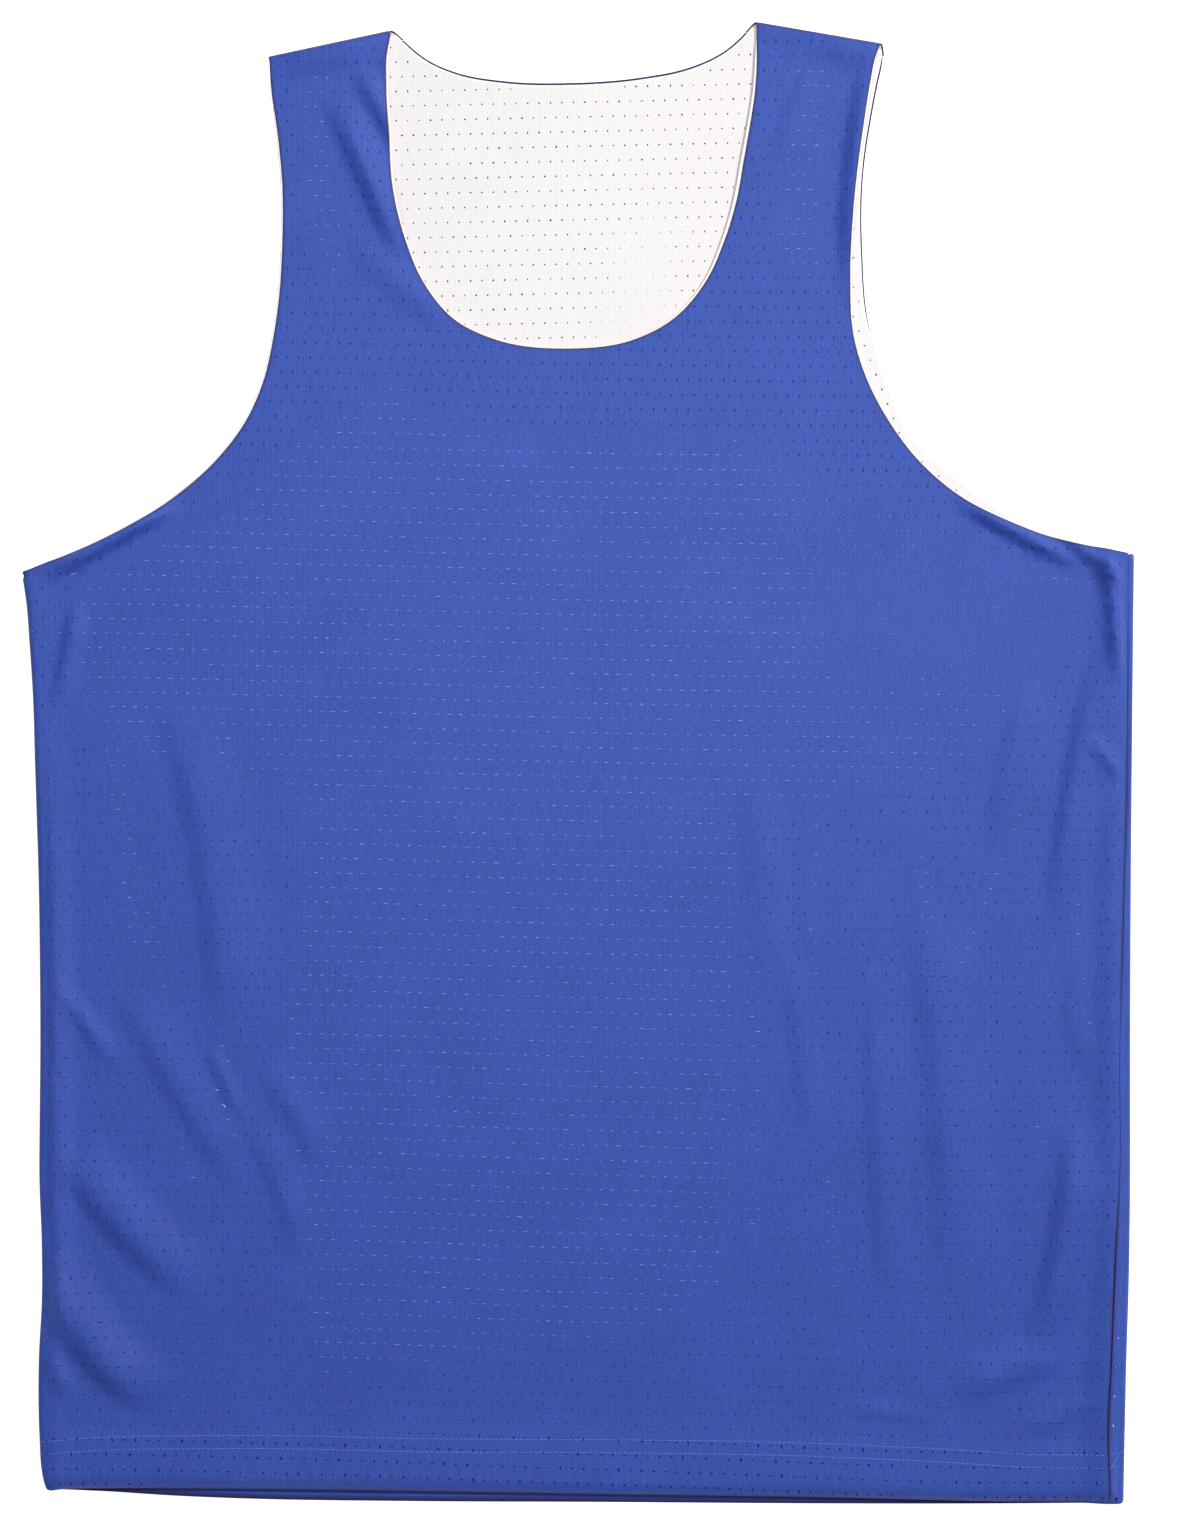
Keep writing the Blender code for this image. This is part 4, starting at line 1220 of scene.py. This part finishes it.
def hem_threads():
    """Each line of stitches of the hem in a drawing, how that drawing is laid, and the pitch."""
    rows = [(hem_line(), front_place, STITCH_PITCH), (hem_line(NEEDLE_GAUGE), front_place, STITCH_PITCH)]
    for thread in STRIP_THREADS:
        ends = [(float(right_start(y)) + HALF_TURN + inwards, y)
                for inwards, y in ((thread.start_in, thread.start_y), (thread.end_in, thread.end_y))]
        rows.append((np.array(ends), back_place, thread.pitch))
    return rows


def stitch_rows(name, rows, thread, random):
    """Rows of stitches lying on the cloths, as one mesh."""
    shape, shape_faces = stitch_shape()
    points = []
    faces = []
    for line, place, pitch in rows:
        lengths = run_lengths(line)
        stations = np.arange(STITCH_LENGTH / 2, lengths[-1], pitch)
        stations += random.uniform(-STITCH_UNEVEN, STITCH_UNEVEN, len(stations))
        middle = points_at(stations, lengths, line)
        ahead = points_at(stations + STITCH_AHEAD, lengths, line)
        surface, out = place(*middle.T)
        run = (place(*ahead.T)[0] - surface)[:, :2]
        run /= np.linalg.norm(run, axis=1, keepdims=True)
        across = np.stack([-run[:, 1], run[:, 0]], axis=1)
        surface = surface + out * (OUTER_SKIN + HEM_EXTRA)
        for base, along, side, up in zip(surface, run, across, out):
            count = len(points) * len(shape)
            flat = np.zeros((len(shape), 3))
            flat[:, :2] = np.outer(shape[:, 0], along) + np.outer(shape[:, 1], side)
            points.append(base + flat + np.outer(shape[:, 2], up))
            faces += [tuple(count + corner for corner in face) for face in shape_faces]
    return new_piece(name, np.concatenate(points), faces, [thread])


class Nodes:
    """A new material, with short calls for its nodes and links."""

    def __init__(self, name):
        self.material = bpy.data.materials.new(name)
        self.material.use_nodes = True
        self.tree = self.material.node_tree
        self.shader = self.tree.nodes["Principled BSDF"]

    def add(self, kind, inputs=(), **settings):
        node = self.tree.nodes.new(kind)
        for name, value in settings.items():
            setattr(node, name, value)
        self.fill(node, inputs)
        return node

    def fill(self, node, inputs):
        for name, value in dict(inputs).items():
            if isinstance(value, bpy.types.NodeSocket):
                self.tree.links.new(value, node.inputs[name])
            else:
                node.inputs[name].default_value = value

    def math(self, operation, first, second):
        node = self.add("ShaderNodeMath", {0: first, 1: second}, operation=operation)
        return node.outputs[0]

    def noise(self, place, scale, detail):
        inputs = {"Vector": place, "Scale": scale, "Detail": detail}
        return self.add("ShaderNodeTexNoise", inputs, noise_dimensions="2D").outputs[0]

    def variation(self, noise, amount):
        """A noise as a change about nought."""
        return self.math("MULTIPLY", self.math("SUBTRACT", noise, 0.5), amount)

    def stitches(self, place, scale, distortion, direction):
        """Rows of knitted loops along one direction."""
        inputs = {"Vector": place, "Scale": scale, "Distortion": distortion, "Detail": 1.0,
                  "Detail Scale": 1.5}
        return self.add("ShaderNodeTexWave", inputs, wave_type="BANDS",
                        bands_direction=direction).outputs["Fac"]

    def combined(self, operation, inputs):
        return self.add("ShaderNodeVectorMath", inputs, operation=operation).outputs[0]


def knit_material(name, colour, roughness, sheen, streaks, grain, relief, at_edges, in_holes):
    """Pin-hole knit: fine upright wales, uneven streaks and grain, with painted shade at rolls and holes,
    and on the white a painted highlight at rolls.
    """
    nodes = Nodes(name)
    flat = nodes.add("ShaderNodeUVMap", uv_map=CLOTH_MAP).outputs["UV"]
    upright = nodes.add("ShaderNodeMapping", {"Vector": flat, "Scale": STREAK_SCALE})
    streak = nodes.noise(upright.outputs[0], 1.0, 2.0)
    level = nodes.variation(streak, 2.0 * streaks)
    for change in (nodes.variation(nodes.noise(flat, 22.0, 3.0), streaks),
                   nodes.variation(nodes.noise(flat, 750.0, 1.0), 2.0 * grain), 1.0):
        level = nodes.math("ADD", level, change)
    # Painted shade from the points' shade attribute: above 0 at rolled edges, below 0 in holes
    shade = nodes.add("ShaderNodeAttribute", attribute_name=SHADE).outputs["Fac"]
    rolled = nodes.math("MAXIMUM", shade, 0.0)
    sunk = nodes.math("MAXIMUM", nodes.math("MULTIPLY", shade, -1.0), 0.0)
    part_kept = (1.0, 1.0, 1.0)
    for amount, tint in ((rolled, at_edges), (sunk, in_holes)):
        loss = nodes.combined("SCALE", {0: [1.0 - part for part in tint], "Scale": amount})
        part_kept = nodes.combined("SUBTRACT", {0: part_kept, 1: loss})
    colour_with_painted_shade = nodes.combined("MULTIPLY", {0: colour, 1: part_kept})
    wales = nodes.stitches(flat, 350.0, 0.6, "X")
    courses = nodes.stitches(flat, 460.0, 0.8, "Y")
    loops = nodes.math("MULTIPLY", wales, nodes.math("ADD", courses, 0.5))
    height = nodes.math("ADD", loops, streak)
    bump = nodes.add("ShaderNodeBump", {"Height": height, "Strength": relief, "Distance": KNIT_HEIGHT})
    nodes.fill(nodes.shader, {
        "Base Color": nodes.combined("SCALE", {0: colour_with_painted_shade, "Scale": level}),
        "Normal": bump.outputs[0],
        "Roughness": roughness,
        "Specular IOR Level": 0.3,
        "Sheen Weight": sheen,
        "Sheen Roughness": 0.5,
        "Sheen Tint": (*[0.5 + 0.5 * part for part in colour], 1.0),
    })
    return nodes.material


def thread_material():
    """Stitching thread: pale blue with a fine twist along it."""
    nodes = Nodes("stitching_thread")
    place = nodes.add("ShaderNodeNewGeometry").outputs["Position"]
    twist = nodes.add("ShaderNodeTexWave", {"Vector": place, "Scale": 700.0, "Distortion": 1.0},
                      wave_type="BANDS", bands_direction="DIAGONAL")
    bump = nodes.add("ShaderNodeBump", {"Height": twist.outputs["Fac"], "Strength": 0.4,
                                        "Distance": THREAD_HEIGHT})
    nodes.fill(nodes.shader, {"Base Color": (*THREAD, 1.0), "Normal": bump.outputs[0],
                              "Roughness": 0.5, "Sheen Weight": 0.2})
    return nodes.material


def declare_sheet(piece, node, outline):
    """Attaches a cloth to the root body and hides the solid that it replaces. The outline is not used."""
    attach(piece, "root")
    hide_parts(node)


def build_jersey():
    random = np.random.default_rng(SEED)
    blue = knit_material("blue_knit", BLUE, roughness=0.6, sheen=0.1, streaks=0.16, grain=0.22,
                         relief=0.5, at_edges=BLUE_PAINTED_EDGE_SHADE, in_holes=BLUE_PAINTED_HOLE_SHADE)
    white, white_with_painted_blue_light = [
        knit_material(name, colour, roughness=0.75, sheen=0.05, streaks=0.03, grain=0.04,
                      relief=0.4, at_edges=WHITE_PAINTED_HIGHLIGHT, in_holes=WHITE_PAINTED_SHADE)
        for name, colour in (("white_knit", WHITE), ("white_knit_painted_blue_light", WHITE_UNDER_BLUE_PAINTED_LIGHT))]
    front_outer, front_inner = front_cloths(blue, white, white_with_painted_blue_light, random)
    back_outer, back_inner = back_cloths(blue, white, random)
    stitches = stitch_rows("hem_stitches", hem_threads(), thread_material(), random)
    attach(stitches, "root")
    declare_sheet(back_outer, "back_outer", back_outline(False))
    declare_sheet(back_inner, "back_inner", back_outline(True, LINING_HEM_SHORT))
    declare_sheet(front_inner, "front_inner", front_outline(True, INNER_HEM_SHORT))
    declare_sheet(front_outer, "front_outer", front_outline(False))


def build_floor():
    nodes = Nodes("pale_floor")
    nodes.fill(nodes.shader, {"Base Color": (*FLOOR_COLOUR, 1.0), "Roughness": 0.9,
                              "Specular IOR Level": 0.0, "Emission Color": (1.0, 1.0, 1.0, 1.0),
                              "Emission Strength": FLOOR_GLOW})
    corners = np.array([(-1.0, -1.0, 0.0), (1.0, -1.0, 0.0), (1.0, 1.0, 0.0), (-1.0, 1.0, 0.0)])
    floor = new_piece("floor", corners * FLOOR_HALF_WIDTH, [(0, 1, 2, 3)], [nodes.material])


def build_camera():
    data = bpy.data.cameras.new("camera")
    data.sensor_fit = "VERTICAL"
    data.sensor_height = SENSOR_HEIGHT
    data.lens = SENSOR_HEIGHT * VIEW_DISTANCE / VIEW_HEIGHT
    data.clip_end = VIEW_END * MM
    camera = linked("camera", data)
    camera.location = Vector((*VIEW_MIDDLE, VIEW_DISTANCE)) * MM
    bpy.context.scene.camera = camera


def area_light(name, size, power, place, target=(0.0, 0.0, 0.0), colour=(1.0, 1.0, 1.0)):
    data = bpy.data.lights.new(name, "AREA")
    data.shape = "DISK"
    data.size = size * MM
    data.energy = power
    data.color = colour
    light = linked(name, data)
    light.visible_camera = False
    light.location = Vector(place) * MM
    light.rotation_euler = (Vector(target) - Vector(place)).to_track_quat("-Z", "Y").to_euler()


def build_lights():
    """A key from the upper right, a soft box overhead and an even pale surround."""
    area_light("key", KEY_SIZE, KEY_POWER, KEY_PLACE, colour=KEY_COLOUR)
    area_light("soft_box", BOX_SIZE, BOX_POWER, BOX_PLACE, BOX_TARGET)
    world = bpy.data.worlds.new("surround")
    world.use_nodes = True
    background = world.node_tree.nodes["Background"]
    background.inputs["Color"].default_value = (*SURROUND_COLOUR, 1.0)
    background.inputs["Strength"].default_value = SURROUND_STRENGTH
    bpy.context.scene.world = world
    bpy.context.scene.view_settings.view_transform = "Standard"
    bpy.context.scene.view_settings.look = "None"


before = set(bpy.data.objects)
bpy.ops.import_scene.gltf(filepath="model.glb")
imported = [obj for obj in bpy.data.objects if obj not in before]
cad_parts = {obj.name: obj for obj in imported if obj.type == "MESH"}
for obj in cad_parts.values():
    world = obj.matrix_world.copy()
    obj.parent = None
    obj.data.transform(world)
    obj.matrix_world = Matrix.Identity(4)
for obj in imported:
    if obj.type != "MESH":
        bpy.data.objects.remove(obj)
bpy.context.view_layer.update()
build_camera()
build_lights()
build_floor()
build_jersey()
